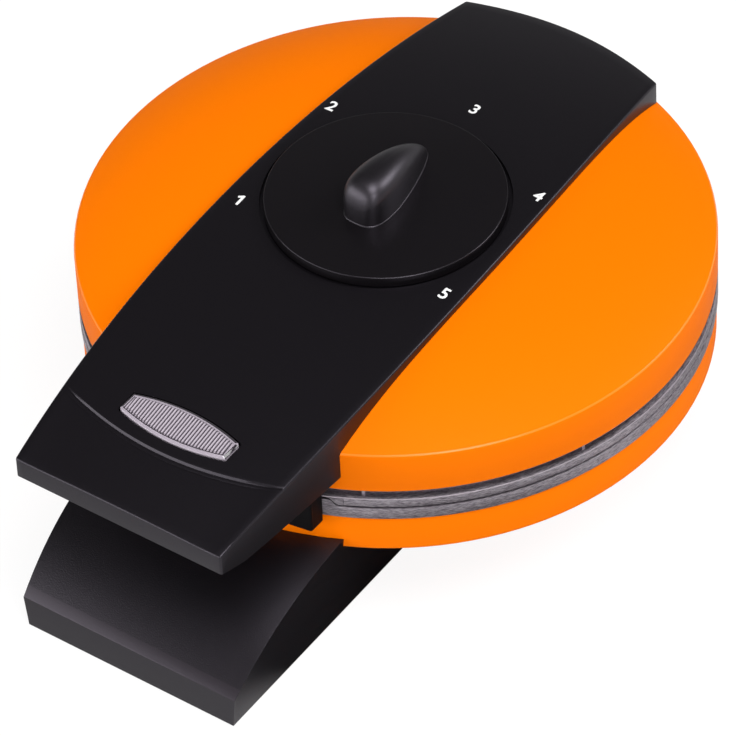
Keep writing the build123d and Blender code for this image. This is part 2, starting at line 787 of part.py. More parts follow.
with BuildPart() as upper_plate:
    casting = baking_plate(2 * parting_z - ledge_top_z, plate_wall_radius)
    add(mirror(casting, about=Plane.XY.offset(parting_z)))
    upper_back = 2 * parting_z - back_z
    with BuildSketch(Plane.XY.offset(ledge_top_z - 0.5)):
        for angle in post_angles:
            for turned in (angle, 180 - angle):
                with Locations(Rotation(0, 0, turned)):
                    with Locations((plate_wall_radius + 0.6, 0)):
                        Rectangle(3.0, 1.2)
    extrude(amount=post_height + 0.5)
    add(posts(clamp_points, plate_boss, upper_back - 1, 88))
    add(posts(pillar_points, pillar_radius, upper_back - 1, upper_back + reflector_drop))
    add(posts([(0, dial_y)], 16, upper_back - 1, upper_back + 1.8))
    add(posts(bracket_points, pillar_radius, upper_back - 1, upper_back + 4))
    add(tab_notch.part, mode=Mode.SUBTRACT)
    add(posts(clamp_points, large_tap, 75, 89), mode=Mode.SUBTRACT)
    add(posts(pillar_points, fine_tap, upper_back + 2, upper_back + reflector_drop + 1), mode=Mode.SUBTRACT)
    add(posts(bracket_points, fine_tap, upper_back + 0.5, upper_back + 6), mode=Mode.SUBTRACT)
save(upper_plate, "upper_plate")

with BuildPart() as lid_screws:
    add(screws(clamp_points, lid_screw_seat, 14, large_shank, large_head, 1.7, True))
save(lid_screws, "lid_screws")

# Upper heater, its terminals and the reflector above it
upper_tube, upper_ends = heater(upper_back + heater_gap, 1)
with BuildPart() as upper_heater:
    add(upper_tube)
save(upper_heater, "upper_heater")

with BuildPart() as upper_terminals:
    add(terminals(upper_ends, 1))
save(upper_terminals, "upper_terminals")

reflector_holes[2] = ([(e.X, e.Y) for e in upper_ends], 4.6)
reflector_holes.append(([(0, dial_y)], 27))
upper_disc = reflector(-upper_back - reflector_drop - reflector_thick, reflector_holes)
with BuildPart() as upper_reflector:
    add(mirror(upper_disc, about=Plane.XY))
save(upper_reflector, "upper_reflector")

with BuildPart() as upper_reflector_screws:
    upper_seat = upper_back + reflector_drop + reflector_thick
    add(screws(pillar_points, upper_seat, reflector_screw, fine_shank, fine_head, 1.4, True))
save(upper_reflector_screws, "upper_reflector_screws")

# Thermostat: a ceramic body on the plate's pad, a steel bridge over it and a shaft up to the dial
pad_z = upper_back + 1.8
body_top_z = pad_z + 9
with BuildPart() as thermostat_body:
    add(posts([(0, dial_y)], 14, pad_z, body_top_z))
    add(posts([(0, dial_y)], 5, body_top_z, body_top_z + 6))
    with Locations((0, dial_y - 12, pad_z + 4), (0, dial_y + 12, pad_z + 4)):
        Box(40, 5, 1)
    add(posts([(0, dial_y)], shaft_radius + 0.05, pad_z + 3, 99), mode=Mode.SUBTRACT)
save(thermostat_body, "thermostat_body")

with BuildPart() as thermostat_bracket:
    with BuildSketch(Plane.YZ):
        with BuildLine():
            Polyline((dial_y - 25, upper_back + 4), (dial_y - 15.5, upper_back + 4),
                     (dial_y - 15.5, body_top_z), (dial_y + 15.5, body_top_z),
                     (dial_y + 15.5, upper_back + 4), (dial_y + 25, upper_back + 4),
                     (dial_y + 25, upper_back + 5), (dial_y + 16.5, upper_back + 5),
                     (dial_y + 16.5, body_top_z + 1), (dial_y - 16.5, body_top_z + 1),
                     (dial_y - 16.5, upper_back + 5), (dial_y - 25, upper_back + 5), close=True)
        make_face()
    extrude(amount=5.5, both=True)
    add(posts([(0, dial_y)], 5.1, 70, 99), mode=Mode.SUBTRACT)
    add(posts(bracket_points, small_clear, 60, 99), mode=Mode.SUBTRACT)
save(thermostat_bracket, "thermostat_bracket")

with BuildPart() as thermostat_screws:
    add(screws(bracket_points, upper_back + 5, 4.2, fine_shank, fine_head, 1.6, True))
save(thermostat_screws, "thermostat_screws")

with BuildPart() as thermostat_shaft:
    add(posts([(0, dial_y)], shaft_radius, pad_z + 3.2, shaft_top_z))
    with Locations((0, dial_y + shaft_flat, shaft_top_z)):
        Box(8, 1.6, 9, align=(Align.CENTER, Align.MIN, Align.MAX), mode=Mode.SUBTRACT)
save(thermostat_shaft, "thermostat_shaft")

# Thermal fuse clipped to the back of the upper plate
fuse_x, fuse_y = -33.0, 6.0
with BuildPart() as thermal_fuse:
    with BuildSketch(Plane.YZ.offset(fuse_x - 6)):
        with Locations((fuse_y, upper_back + 2.2)):
            Circle(2.2)
    extrude(amount=12)
    with BuildSketch(Plane.YZ.offset(fuse_x - 11)):
        with Locations((fuse_y, upper_back + 2.2)):
            Circle(0.6)
    extrude(amount=22)
save(thermal_fuse, "thermal_fuse")

with BuildPart() as fuse_clip:
    with BuildSketch(Plane.YZ.offset(fuse_x - 3)):
        with Locations((fuse_y, upper_back + 2.25)):
            Circle(3.0)
            Rectangle(6.0, 6.0, align=(Align.CENTER, Align.MAX))
        with Locations((fuse_y, upper_back)):
            Rectangle(14, 0.7, align=(Align.CENTER, Align.MIN))
        with Locations((fuse_y, upper_back + 2.25)):
            Circle(2.3, mode=Mode.SUBTRACT)
            Rectangle(4.6, 6.0, align=(Align.CENTER, Align.MAX), mode=Mode.SUBTRACT)
        with Locations((fuse_y, upper_back)):
            Rectangle(20, 5, align=(Align.CENTER, Align.MAX), mode=Mode.SUBTRACT)
    extrude(amount=6)
save(fuse_clip, "fuse_clip")

# Pilot lens with a flange under the skin, and the lamp behind it
with BuildPart() as lens_shell:
    add(band_form(-lens_proud, 60))
    add(band_form(band_skin + 0.05, 50), mode=Mode.SUBTRACT)

with BuildPart() as lens_flange:
    add(lens_block(1.6))
    add(band_form(band_skin + 0.05, 60), mode=Mode.INTERSECT)
    add(band_form(band_skin + 1.2, 50), mode=Mode.SUBTRACT)

with BuildPart() as pilot_lens:
    add(lens_block(0))
    add(lens_shell.part, mode=Mode.INTERSECT)
    add(lens_flange.part)
save(pilot_lens, "pilot_lens")

lamp_z = cover_z + cover_thick + 4.4
with BuildPart() as pilot_lamp:
    with BuildSketch(Plane.YZ.offset(-8)):
        with Locations((lens_y, lamp_z)):
            Circle(2.6)
    extrude(amount=16)
    fillet(pilot_lamp.edges().filter_by(GeomType.CIRCLE).group_by(Axis.X)[-1], 1.8)
save(pilot_lamp, "pilot_lamp")

with BuildPart() as lamp_holder:
    with Locations((0, lens_y, cover_z + cover_thick)):
        Box(26, 9, 1.2, align=(Align.CENTER, Align.CENTER, Align.MIN))
    for x in (-6, 4):
        with BuildSketch(Plane.YZ.offset(x)):
            with Locations((lens_y, lamp_z)):
                Circle(3.8)
                Rectangle(7.6, 4.0, align=(Align.CENTER, Align.MAX))
                Circle(2.65, mode=Mode.SUBTRACT)
            with Locations((lens_y, lamp_z + 3)):
                Rectangle(3.6, 4, mode=Mode.SUBTRACT)
        extrude(amount=2)
save(lamp_holder, "lamp_holder")

# Dial: a disc with a turned-down rim and a hub on the shaft, and the teardrop grip on top
with BuildPart() as dial_disc:
    add(posts([(0, dial_y)], dial_radius, dial_bottom_z, dial_top_z))
    fillet(dial_disc.edges().group_by(Axis.Z)[-1], dial_edge)
    add(posts([(0, dial_y)], dial_radius - dial_wall, dial_bottom_z - 1, dial_top_z - dial_skin),
        mode=Mode.SUBTRACT)
    add(posts([(0, dial_y)], hub_radius, 91, dial_top_z - 1))
    with BuildSketch(Plane.XY.offset(90)):
        with Locations((0, dial_y)):
            Circle(shaft_radius + 0.02)
        with Locations((0, dial_y + shaft_flat + 0.02)):
            Rectangle(8, 3, align=(Align.CENTER, Align.MIN), mode=Mode.SUBTRACT)
    extrude(amount=shaft_top_z - 90, mode=Mode.SUBTRACT)
save(dial_disc, "dial_disc")


# The grip is lofted through upright sections: a level base, upright flanks and a full, rounded top
with BuildPart() as dial_grip:
    for y, half, crest in grip_sections:
        low, high = dial_top_z, dial_top_z + crest
        flank = low + grip_flank * crest
        near, rise = grip_shoulder[0] * half, low + grip_shoulder[1] * crest
        with BuildSketch(Plane.XZ.offset(-y)):
            with BuildLine():
                Polyline((-half, flank), (-half, low), (half, low), (half, flank))
                Spline((half, flank), (near, rise), (0, high), (-near, rise), (-half, flank),
                       tangents=[(0, 1), (0, -1)])
            make_face()
    loft()
save(dial_grip, "dial_grip")
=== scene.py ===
import math
import bmesh
import bpy
from mathutils import Matrix, Vector
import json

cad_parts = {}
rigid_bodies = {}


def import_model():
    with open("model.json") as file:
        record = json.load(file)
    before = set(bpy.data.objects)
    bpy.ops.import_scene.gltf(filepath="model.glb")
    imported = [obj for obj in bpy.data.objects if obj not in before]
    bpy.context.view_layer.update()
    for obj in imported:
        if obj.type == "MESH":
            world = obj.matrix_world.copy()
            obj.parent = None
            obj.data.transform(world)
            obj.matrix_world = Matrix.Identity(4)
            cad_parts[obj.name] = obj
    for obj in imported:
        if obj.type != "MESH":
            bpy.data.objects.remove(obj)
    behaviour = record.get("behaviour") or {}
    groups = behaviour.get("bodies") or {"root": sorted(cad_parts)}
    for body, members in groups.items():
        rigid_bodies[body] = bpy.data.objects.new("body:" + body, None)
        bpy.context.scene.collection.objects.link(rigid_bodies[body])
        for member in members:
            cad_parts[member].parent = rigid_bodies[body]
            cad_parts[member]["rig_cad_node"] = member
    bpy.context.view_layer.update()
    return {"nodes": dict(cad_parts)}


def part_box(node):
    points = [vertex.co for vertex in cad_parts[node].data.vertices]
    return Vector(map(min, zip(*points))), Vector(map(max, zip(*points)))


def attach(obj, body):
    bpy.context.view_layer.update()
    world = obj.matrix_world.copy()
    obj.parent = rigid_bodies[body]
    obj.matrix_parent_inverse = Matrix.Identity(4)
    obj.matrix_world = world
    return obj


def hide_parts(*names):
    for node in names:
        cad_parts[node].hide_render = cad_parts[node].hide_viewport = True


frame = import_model()
print("frame loaded:", len(frame["nodes"]), "nodes")

# Lengths below are in millimetres, from the round body's axis. The frame says where that axis is.
mm = 0.001
shellLow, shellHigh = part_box("lid_shell")
axis = (shellLow + shellHigh) / 2

# Points nearer to each other than the weld, and faces flatter than the bend in degrees, are made one
weld = 0.002 * mm
bend = 0.3


def at(x, y, z):
    return Vector((x * mm + axis.x, y * mm + axis.y, z * mm))


# Camera, at the photograph's viewing angle
view = {"place": (0.9815, -1.2882, 1.6045), "target": (0.01867, -0.02516, 0.06), "roll": -3.09,
        "lens": 314.4, "sensor": 36.0, "near": 0.1, "far": 20}


def addCamera():
    bpy.ops.object.select_all(action="DESELECT")
    bpy.ops.object.camera_add(location=view["place"])
    camera = bpy.context.object
    back = Vector(view["place"]) - Vector(view["target"])
    turn = back.to_track_quat("Z", "Y").to_matrix() @ Matrix.Rotation(math.radians(view["roll"]), 3, "Z")
    camera.rotation_euler = turn.to_euler()
    camera.data.lens = view["lens"]
    camera.data.sensor_width = view["sensor"]
    camera.data.clip_start = view["near"]
    camera.data.clip_end = view["far"]
    bpy.context.scene.camera = camera


addCamera()

# Work in the viewport, as operators


def makeActive(piece):
    bpy.ops.object.select_all(action="DESELECT")
    piece.select_set(True)
    bpy.context.view_layer.objects.active = piece


def pick(piece, kind, test):
    # in edit mode, selects only the vertices, edges or faces that pass the test
    bpy.ops.mesh.select_mode(type=kind)
    bpy.ops.mesh.select_all(action="DESELECT")
    shape = bmesh.from_edit_mesh(piece.data)
    items = {"VERT": shape.verts, "EDGE": shape.edges, "FACE": shape.faces}[kind]
    for item in items:
        if test(item):
            item.select_set(True)
    bmesh.update_edit_mesh(piece.data)


def drawPoints(name, points):
    # a first point, then each next one extruded from the last; stays in edit mode with all selected
    bpy.ops.object.select_all(action="DESELECT")
    bpy.ops.mesh.primitive_plane_add(size=mm, location=points[0])
    piece = bpy.context.object
    piece.name = name
    piece.data.name = name
    bpy.ops.object.mode_set(mode="EDIT")
    bpy.ops.mesh.select_mode(type="VERT")
    bpy.ops.mesh.select_all(action="SELECT")
    bpy.ops.mesh.merge(type="CENTER")
    for before, after in zip(points, points[1:]):
        bpy.ops.mesh.extrude_vertices_move(TRANSFORM_OT_translate={"value": after - before})
    bpy.ops.mesh.select_all(action="SELECT")
    return piece


def closeUp(piece):
    # merges doubles and points all faces outwards, then leaves edit mode
    bpy.ops.mesh.select_all(action="SELECT")
    bpy.ops.mesh.remove_doubles(threshold=weld)
    bpy.ops.mesh.normals_make_consistent(inside=False)
    bpy.ops.object.mode_set(mode="OBJECT")
    return piece


def turned(name, outline, centre=(0.0, 0.0), steps=128):
    # spins an outline of radius and height pairs into a closed round piece
    piece = drawPoints(name, [at(centre[0] + r, centre[1], z) for r, z in outline])
    bpy.ops.mesh.spin(steps=steps, angle=2 * math.pi, center=at(centre[0], centre[1], 0), axis=(0, 0, 1))
    return closeUp(piece)


def prism(name, points, depth):
    # fills an outline of points and draws it out by a vector, all in millimetres
    piece = drawPoints(name, [at(*p) for p in points])
    bpy.ops.mesh.edge_face_add()
    bpy.ops.mesh.select_all(action="SELECT")
    bpy.ops.mesh.extrude_region_move(TRANSFORM_OT_translate={"value": Vector(depth) * mm})
    return closeUp(piece)


def bar(name, centre, radius, length, direction, steps=48):
    # a round bar, for holes and pins
    bpy.ops.object.select_all(action="DESELECT")
    bpy.ops.mesh.primitive_cylinder_add(vertices=steps, radius=radius * mm, depth=length * mm,
                                        location=at(*centre))
    piece = bpy.context.object
    piece.name = name
    if direction == "X":
        bpy.ops.object.mode_set(mode="EDIT")
        bpy.ops.mesh.select_all(action="SELECT")
        bpy.ops.transform.rotate(value=math.pi / 2, orient_axis="Y", center_override=at(*centre))
        bpy.ops.object.mode_set(mode="OBJECT")
    return piece


def combine(piece, other, operation):
    # joins, cuts or trims a piece with another one, which is used up
    makeActive(piece)
    bpy.ops.object.transform_apply(location=True, rotation=True, scale=True)
    tool = piece.modifiers.new("combine", "BOOLEAN")
    tool.object = other
    tool.operation = operation
    tool.solver = "EXACT"
    bpy.ops.object.modifier_apply(modifier=tool.name)
    bpy.data.objects.remove(other)
    return piece


def roundEdges(piece, test, width, segments=3):
    # bevels the edges that pass the test
    makeActive(piece)
    bpy.ops.object.mode_set(mode="EDIT")
    pick(piece, "EDGE", test)
    bpy.ops.mesh.bevel(offset=width * mm, segments=segments, affect="EDGES", clamp_overlap=True)
    bpy.ops.object.mode_set(mode="OBJECT")


def edgeAngle(edge):
    # how sharply an edge stands out, in degrees; below zero in an inner corner
    if len(edge.link_faces) != 2:
        return 0.0
    return math.degrees(edge.calc_face_angle_signed(0.0))


def spot(vertex):
    # a vertex in millimetres from the round body's axis
    return (vertex.co - at(0, 0, 0)) / mm


def copyOfNode(node, name):
    # the CAD node's own shape, merged and cleaned so that its edges can be rounded
    makeActive(frame["nodes"][node])
    bpy.ops.object.duplicate()
    piece = bpy.context.object
    piece.name = name
    piece.data.name = name
    del piece["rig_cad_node"]
    bpy.ops.object.mode_set(mode="EDIT")
    bpy.ops.mesh.select_all(action="SELECT")
    bpy.ops.mesh.customdata_custom_splitnormals_clear()
    bpy.ops.mesh.remove_doubles(threshold=weld)
    bpy.ops.mesh.dissolve_limited(angle_limit=math.radians(bend))
    bpy.ops.object.mode_set(mode="OBJECT")
    return piece


def shapedGrid(name, columns, rows, place):
    # a flat grid whose points are moved one by one to where place(across, along) says, in millimetres
    bpy.ops.object.select_all(action="DESELECT")
    bpy.ops.mesh.primitive_grid_add(x_subdivisions=columns, y_subdivisions=rows, size=1)
    piece = bpy.context.object
    piece.name = name
    piece.data.name = name
    bpy.ops.object.mode_set(mode="EDIT")
    bpy.ops.mesh.select_mode(type="VERT")
    for k in range((columns + 1) * (rows + 1)):
        bpy.ops.mesh.select_all(action="DESELECT")
        shape = bmesh.from_edit_mesh(piece.data)
        shape.verts.ensure_lookup_table()
        point = shape.verts[k]
        point.select_set(True)
        target = at(*place(k % (columns + 1), k // (columns + 1)))
        bpy.ops.transform.translate(value=target - point.co)
    bpy.ops.mesh.select_all(action="DESELECT")
    return piece


def finishPiece(piece, body, material, nodes=(), smooth=30):
    # material and body of a piece, and the CAD nodes that it stands for, which are hidden
    makeActive(piece)
    bpy.ops.object.parent_clear(type="CLEAR_KEEP_TRANSFORM")
    bpy.ops.object.transform_apply(location=True, rotation=True, scale=True)
    bpy.ops.object.shade_smooth_by_angle(angle=math.radians(smooth))
    piece.data.materials.clear()
    piece.data.materials.append(material)
    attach(piece, body)
    if nodes:
        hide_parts(*nodes)
    return piece


def paint(piece, material, test):
    # gives the faces that pass the test a further material
    piece.data.materials.append(material)
    makeActive(piece)
    bpy.ops.object.mode_set(mode="EDIT")
    pick(piece, "FACE", test)
    piece.active_material_index = len(piece.data.materials) - 1
    bpy.ops.object.material_slot_assign()
    bpy.ops.object.mode_set(mode="OBJECT")


def middle(face):
    # a face's middle in millimetres from the round body's axis
    return (face.calc_center_median() - at(0, 0, 0)) / mm


def fromAxis(face):
    # how far a face's middle lies from the round body's axis
    place = middle(face)
    return math.hypot(place.x, place.y)


# Materials
violetSheen = [0.9, 0.82, 0.96, 1.0]  # black plastic mirrors light with a touch of violet
blackPolyamide = "#0B090C"
ribPitch = 1.21  # from rib to rib of the pilot lens, for its material and its shape


def hexColor(text):
    # an sRGB hex value as a linear colour
    parts = [int(text[i:i + 2], 16) / 255 for i in (1, 3, 5)]
    return [p / 12.92 if p <= 0.04045 else ((p + 0.055) / 1.055) ** 2.4 for p in parts] + [1.0]


def addNode(material, kind, settings, links=()):
    # adds a node, sets its options and its sockets, by name or number, and links sockets from other nodes
    node = material.node_tree.nodes.new(kind)
    for name, value in settings.items():
        if isinstance(name, int) or name in node.inputs:
            node.inputs[name].default_value = value
        else:
            setattr(node, name, value)
    for socket, source, output in links:
        material.node_tree.links.new(source.outputs[output], node.inputs[socket])
    return node


def newMaterial(name, settings):
    # a named material with a plain shader, and its object coordinates
    material = bpy.data.materials.new(name)
    material.use_nodes = True
    shader = material.node_tree.nodes["Principled BSDF"]
    for socket, value in settings.items():
        shader.inputs[socket].default_value = value
    coords = addNode(material, "ShaderNodeTexCoord", {})
    return material, shader, coords


def join(material, source, output, shader, socket):
    # links one node's output to another node's socket
    material.node_tree.links.new(source.outputs[output], shader.inputs[socket])


def roughBump(name, settings, size, depth, spread):
    # a surface whose grain of a given size, in mm, shows in its relief and in its roughness
    material, shader, coords = newMaterial(name, settings)
    grain = addNode(material, "ShaderNodeTexNoise", {"Scale": 1 / (size * mm), "Detail": 3.0},
                    [("Vector", coords, "Object")])
    bump = addNode(material, "ShaderNodeBump", {"Distance": depth * mm, "Strength": 1.0},
                   [("Height", grain, "Fac")])
    join(material, bump, "Normal", shader, "Normal")
    dull = settings["Roughness"]
    sheen = addNode(material, "ShaderNodeMapRange", {"To Min": dull - spread, "To Max": dull + spread},
                    [("Value", grain, "Fac")])
    join(material, sheen, "Result", shader, "Roughness")
    return material


def orangeEnamel():
    # stove enamel on pressed steel: even colour, soft gloss and a faint orange peel
    return roughBump("orangeEnamel", {
        "Base Color": hexColor("#FA7800"), "Roughness": 0.5, "Specular IOR Level": 0.03},
        size=2.4, depth=0.008, spread=0.05)


def highlightEnamel():
    # the same enamel on the rounded shoulder, with a glossy coat and a paler colour that is a painted
    # highlight
    return roughBump("highlightEnamel", {
        "Base Color": hexColor("#FF8410"), "Roughness": 0.4, "Specular IOR Level": 0.3,
        "Coat Weight": 0.55, "Coat Roughness": 0.26}, size=2.4, depth=0.006, spread=0.05)


def grainedPlastic():
    # moulded black polyamide with a spark-eroded grain, which breaks up its satin shine
    return roughBump("grainedPlastic", {
        "Base Color": hexColor(blackPolyamide), "Roughness": 0.36, "Specular Tint": violetSheen},
        size=0.45, depth=0.02, spread=0.08)


def coarsePlastic():
    # the same polyamide with a deeper grain, for the stand and some hidden parts
    return roughBump("coarsePlastic", {
        "Base Color": hexColor(blackPolyamide), "Roughness": 0.38, "Specular IOR Level": 0.48,
        "Specular Tint": violetSheen}, size=0.45, depth=0.07, spread=0.08)


def dullPlastic():
    # the same polyamide, moulded matt, for the block and the underside that steam reaches
    return roughBump("dullPlastic", {
        "Base Color": hexColor("#080608"), "Roughness": 0.6, "Specular IOR Level": 0.14},
        size=0.6, depth=0.02, spread=0.06)


def satinPlastic():
    # the same polyamide from a polished tool, for the dial
    return roughBump("satinPlastic", {
        "Base Color": hexColor("#0D0B0D"), "Roughness": 0.32, "Specular Tint": violetSheen},
        size=0.8, depth=0.004, spread=0.04)


def gripPlastic():
    # a deeper black with a broad, strong shine, for the grip that fingers keep smooth
    return roughBump("gripPlastic", {
        "Base Color": hexColor("#060506"), "Roughness": 0.42, "Specular IOR Level": 0.82,
        "Specular Tint": violetSheen}, size=0.6, depth=0.01, spread=0.05)


def highlightPlastic():
    # the stand's polyamide, smoother and a little paler on the lower handle's rounded front edge: a painted
    # highlight
    return roughBump("highlightPlastic", {
        "Base Color": hexColor("#1F1B1F"), "Roughness": 0.36, "Specular Tint": violetSheen},
        size=0.45, depth=0.02, spread=0.06)


def castAluminium():
    # die-cast aluminium with its rim turned on a lathe: fine bright and dark streaks round the axis
    material, shader, coords = newMaterial("castAluminium", {"Metallic": 1.0})
    flat = addNode(material, "ShaderNodeMapping", {"Location": (-axis.x, -axis.y, 0), "Scale": (1, 1, 0)},
                   [("Vector", coords, "Object")])
    radius = addNode(material, "ShaderNodeVectorMath", {"operation": "LENGTH"}, [("Vector", flat, "Vector")])
    across = addNode(material, "ShaderNodeSeparateXYZ", {}, [("Vector", flat, "Vector")])
    height = addNode(material, "ShaderNodeSeparateXYZ", {}, [("Vector", coords, "Object")])
    angle = addNode(material, "ShaderNodeMath", {"operation": "ARCTAN2"},
                    [(0, across, "Y"), (1, across, "X")])
    place = addNode(material, "ShaderNodeCombineXYZ", {},
                    [("X", angle, 0), ("Y", radius, "Value"), ("Z", height, "Z")])
    # 60 streaks to a radian and 4200 to a metre: on the rim about 1.9 mm long and 0.24 mm wide
    streaks = addNode(material, "ShaderNodeMapping", {"Scale": (60.0, 4200.0, 4200.0)},
                      [("Vector", place, "Vector")])
    grain = addNode(material, "ShaderNodeTexNoise", {"Scale": 1.0, "Detail": 4.0, "Roughness": 0.65},
                    [("Vector", streaks, "Vector")])
    bump = addNode(material, "ShaderNodeBump", {"Distance": 0.02 * mm, "Strength": 1.0},
                   [("Height", grain, "Fac")])
    join(material, bump, "Normal", shader, "Normal")
    tone = addNode(material, "ShaderNodeMapRange", {"From Min": 0.36, "From Max": 0.66},
                   [("Value", grain, "Fac")])
    shade = addNode(material, "ShaderNodeMix", {
        "data_type": "RGBA", 6: hexColor("#6E676E"), 7: hexColor("#C9C1C9")}, [("Factor", tone, "Result")])
    join(material, shade, 2, shader, "Base Color")
    dull = addNode(material, "ShaderNodeMapRange", {"To Min": 0.36, "To Max": 0.58},
                   [("Value", grain, "Fac")])
    join(material, dull, "Result", shader, "Roughness")
    return material


def highlightAluminium():
    # the same aluminium painted brighter and without streaks: a painted highlight on the chamfers where the
    # lathe tool broke the edge, on the posts and on the lid's lip
    return roughBump("highlightAluminium", {"Base Color": hexColor("#BDB4BC"), "Metallic": 1.0, "Roughness": 0.42},
                     size=0.3, depth=0.01, spread=0.08)


def nonStick():
    # black non-stick coat on the baking faces: a matt film with a fine speckle
    return roughBump("nonStick", {"Base Color": hexColor("#1B1A1B"), "Roughness": 0.5},
                     size=0.5, depth=0.008, spread=0.08)


def platedSteel():
    # zinc-plated steel of screws and pins: bright, with a fine grain
    return roughBump("platedSteel", {"Base Color": hexColor("#B4B1AE"), "Metallic": 1.0, "Roughness": 0.3},
                     size=0.4, depth=0.004, spread=0.08)


def sheetAluminium():
    # rolled aluminium sheet, dull from the mill
    return roughBump("sheetAluminium", {
        "Base Color": hexColor("#C2C2C4"), "Metallic": 1.0, "Roughness": 0.38},
        size=1.2, depth=0.004, spread=0.06)


def heaterSheath():
    # the heater's steel sheath, browned by heat
    return roughBump("heaterSheath", {"Base Color": hexColor("#5B5148"), "Metallic": 1.0, "Roughness": 0.5},
                     size=1.5, depth=0.006, spread=0.1)


def steatite():
    # unglazed steatite ceramic: off-white and chalky
    return roughBump("steatite", {"Base Color": hexColor("#E6E0D4"), "Roughness": 0.6},
                     size=0.6, depth=0.006, spread=0.08)


def nitrileRubber():
    # black nitrile rubber: dull, with a little bloom
    return roughBump("nitrileRubber", {"Base Color": hexColor("#222222"), "Roughness": 0.78},
                     size=0.5, depth=0.01, spread=0.08)


def ribbedLens():
    # clear polycarbonate moulded in ribs, painted pale on their crests and dark in their valleys: painted
    # light and shade
    material, shader, coords = newMaterial("ribbedLens", {
        "Roughness": 0.14, "Transmission Weight": 0.15, "IOR": 1.58})
    place = addNode(material, "ShaderNodeSeparateXYZ", {}, [("Vector", coords, "Object")])
    turns = addNode(material, "ShaderNodeMath", {
        "operation": "MULTIPLY", 1: 2 * math.pi / (ribPitch * mm)}, [(0, place, "X")])
    wave = addNode(material, "ShaderNodeMath", {"operation": "COSINE"}, [(0, turns, 0)])
    tint = addNode(material, "ShaderNodeMapRange", {"From Min": -1.0, "From Max": 1.0}, [("Value", wave, 0)])
    # a cosine across the ribs paints the crests pale and the valleys dark: painted light and shade
    shade = addNode(material, "ShaderNodeMix", {
        "data_type": "RGBA", 6: hexColor("#342C37"), 7: hexColor("#D6CBD7")}, [("Factor", tint, "Result")])
    join(material, shade, 2, shader, "Base Color")
    return material


def litRim():
    # the same polycarbonate, smooth and clear, painted pale: the lit copy of the rim, with painted light
    return roughBump("litRim", {
        "Base Color": hexColor("#B9AFBB"), "Roughness": 0.12, "Transmission Weight": 0.2, "IOR": 1.58},
        size=0.8, depth=0.002, spread=0.02)


def shadedRim():
    # the same polycarbonate painted dark: the shaded copy of the rim, with painted shade
    return roughBump("shadedRim", {
        "Base Color": hexColor("#3C363D"), "Roughness": 0.12, "Transmission Weight": 0.3, "IOR": 1.58},
        size=0.8, depth=0.002, spread=0.02)


def lampGlass():
    # the neon lamp's clear glass, faintly warm
    return roughBump("lampGlass", {
        "Base Color": hexColor("#F3E7DD"), "Roughness": 0.08, "Transmission Weight": 0.9, "IOR": 1.5},
        size=1.0, depth=0.001, spread=0.02)


def whitePrint():
    # white pad-printing ink, matt
    return roughBump("whitePrint", {"Base Color": hexColor("#F4F4F4"), "Roughness": 0.55},
                     size=0.2, depth=0.002, spread=0.05)


materials = {maker.__name__: maker() for maker in (
    orangeEnamel, highlightEnamel, highlightAluminium, grainedPlastic, coarsePlastic, dullPlastic, satinPlastic,
    gripPlastic, highlightPlastic, castAluminium, nonStick, platedSteel, sheetAluminium, heaterSheath,
    steatite, nitrileRubber, ribbedLens, litRim, shadedRim, lampGlass, whitePrint)}
print("materials made")

# Shells: two enamelled domes, each a closed wall with a rounded shoulder and a turned lip
shell = {"power": 4, "steps": 24, "bends": 5, "leastRound": 0.2, "lipRound": 0.35, "lipEase": 0.1,
         "paintedShineWide": 1.2, "paintedShineLow": 0.35, "paintedShineHigh": 0.82}
lid = {"radius": 112.0, "shoulder": 81.3, "lip": 64.5, "rise": 15.0, "wall": 1.8, "round": 1.6,
       "seatRadius": 47.0, "seat": 95.3, "seatTop": 99, "seatY": -4.6, "highlightLip": 0.34}
base = {"radius": 111.5, "shoulder": 36.5, "lip": 51.6, "rise": 15.0, "wall": 1.8, "round": 1.6}


def domeOutline(form, inset=0.0):
    # crown to shoulder, then the shoulder's arc; heights are counted up from the shoulder
    radius = form["radius"] - inset
    arc = max(form["round"] - inset, shell["leastRound"])
    lean = math.atan(shell["power"] * form["rise"] / radius)
    end = radius - arc + arc * math.sin(lean)
    points = [end * k / shell["steps"] for k in range(shell["steps"] + 1)]
    dome = [(r, form["rise"] * (1 - (r / radius) ** shell["power"]) - inset) for r in points]
    drop = dome[-1][1] - arc * math.cos(lean)
    turns = [(math.pi / 2 - lean) * (1 - k / shell["bends"]) for k in range(1, shell["bends"] + 1)]
    return dome + [(radius - arc + arc * math.cos(a), drop + arc * math.sin(a)) for a in turns]


def domedShell(name, form, way):
    # outer skin down to the lip, round it and back up the inner skin
    outer = domeOutline(form)
    inner = domeOutline(form, form["wall"])
    depth = -abs(form["shoulder"] - form["lip"])
    radius, wall = form["radius"], form["wall"]
    edge, ease = shell["lipRound"], shell["lipEase"]
    lip = [(radius, depth + edge), (radius - ease, depth + ease), (radius - edge, depth),
           (radius - wall + edge, depth), (radius - wall, depth + edge)]
    outline = outer + lip + inner[::-1]
    return turned(name, [(r, form["shoulder"] + way * h) for r, h in outline])


def onShoulder(face, form, way):
    # the middle of the rounded shoulder, outside, which gets the painted highlight
    outside = fromAxis(face) > form["radius"] - shell["paintedShineWide"]
    return outside and shell["paintedShineLow"] < way * face.normal.z < shell["paintedShineHigh"]


lidShell = domedShell("lidShell", lid, 1)
seat = turned("seatCutter", [(0, lid["seat"]), (lid["seatRadius"], lid["seat"]),
                             (lid["seatRadius"], lid["seatTop"]), (0, lid["seatTop"])], (0, lid["seatY"]))
combine(lidShell, seat, "DIFFERENCE")
finishPiece(lidShell, "lid", materials["orangeEnamel"], ["lid_shell"])
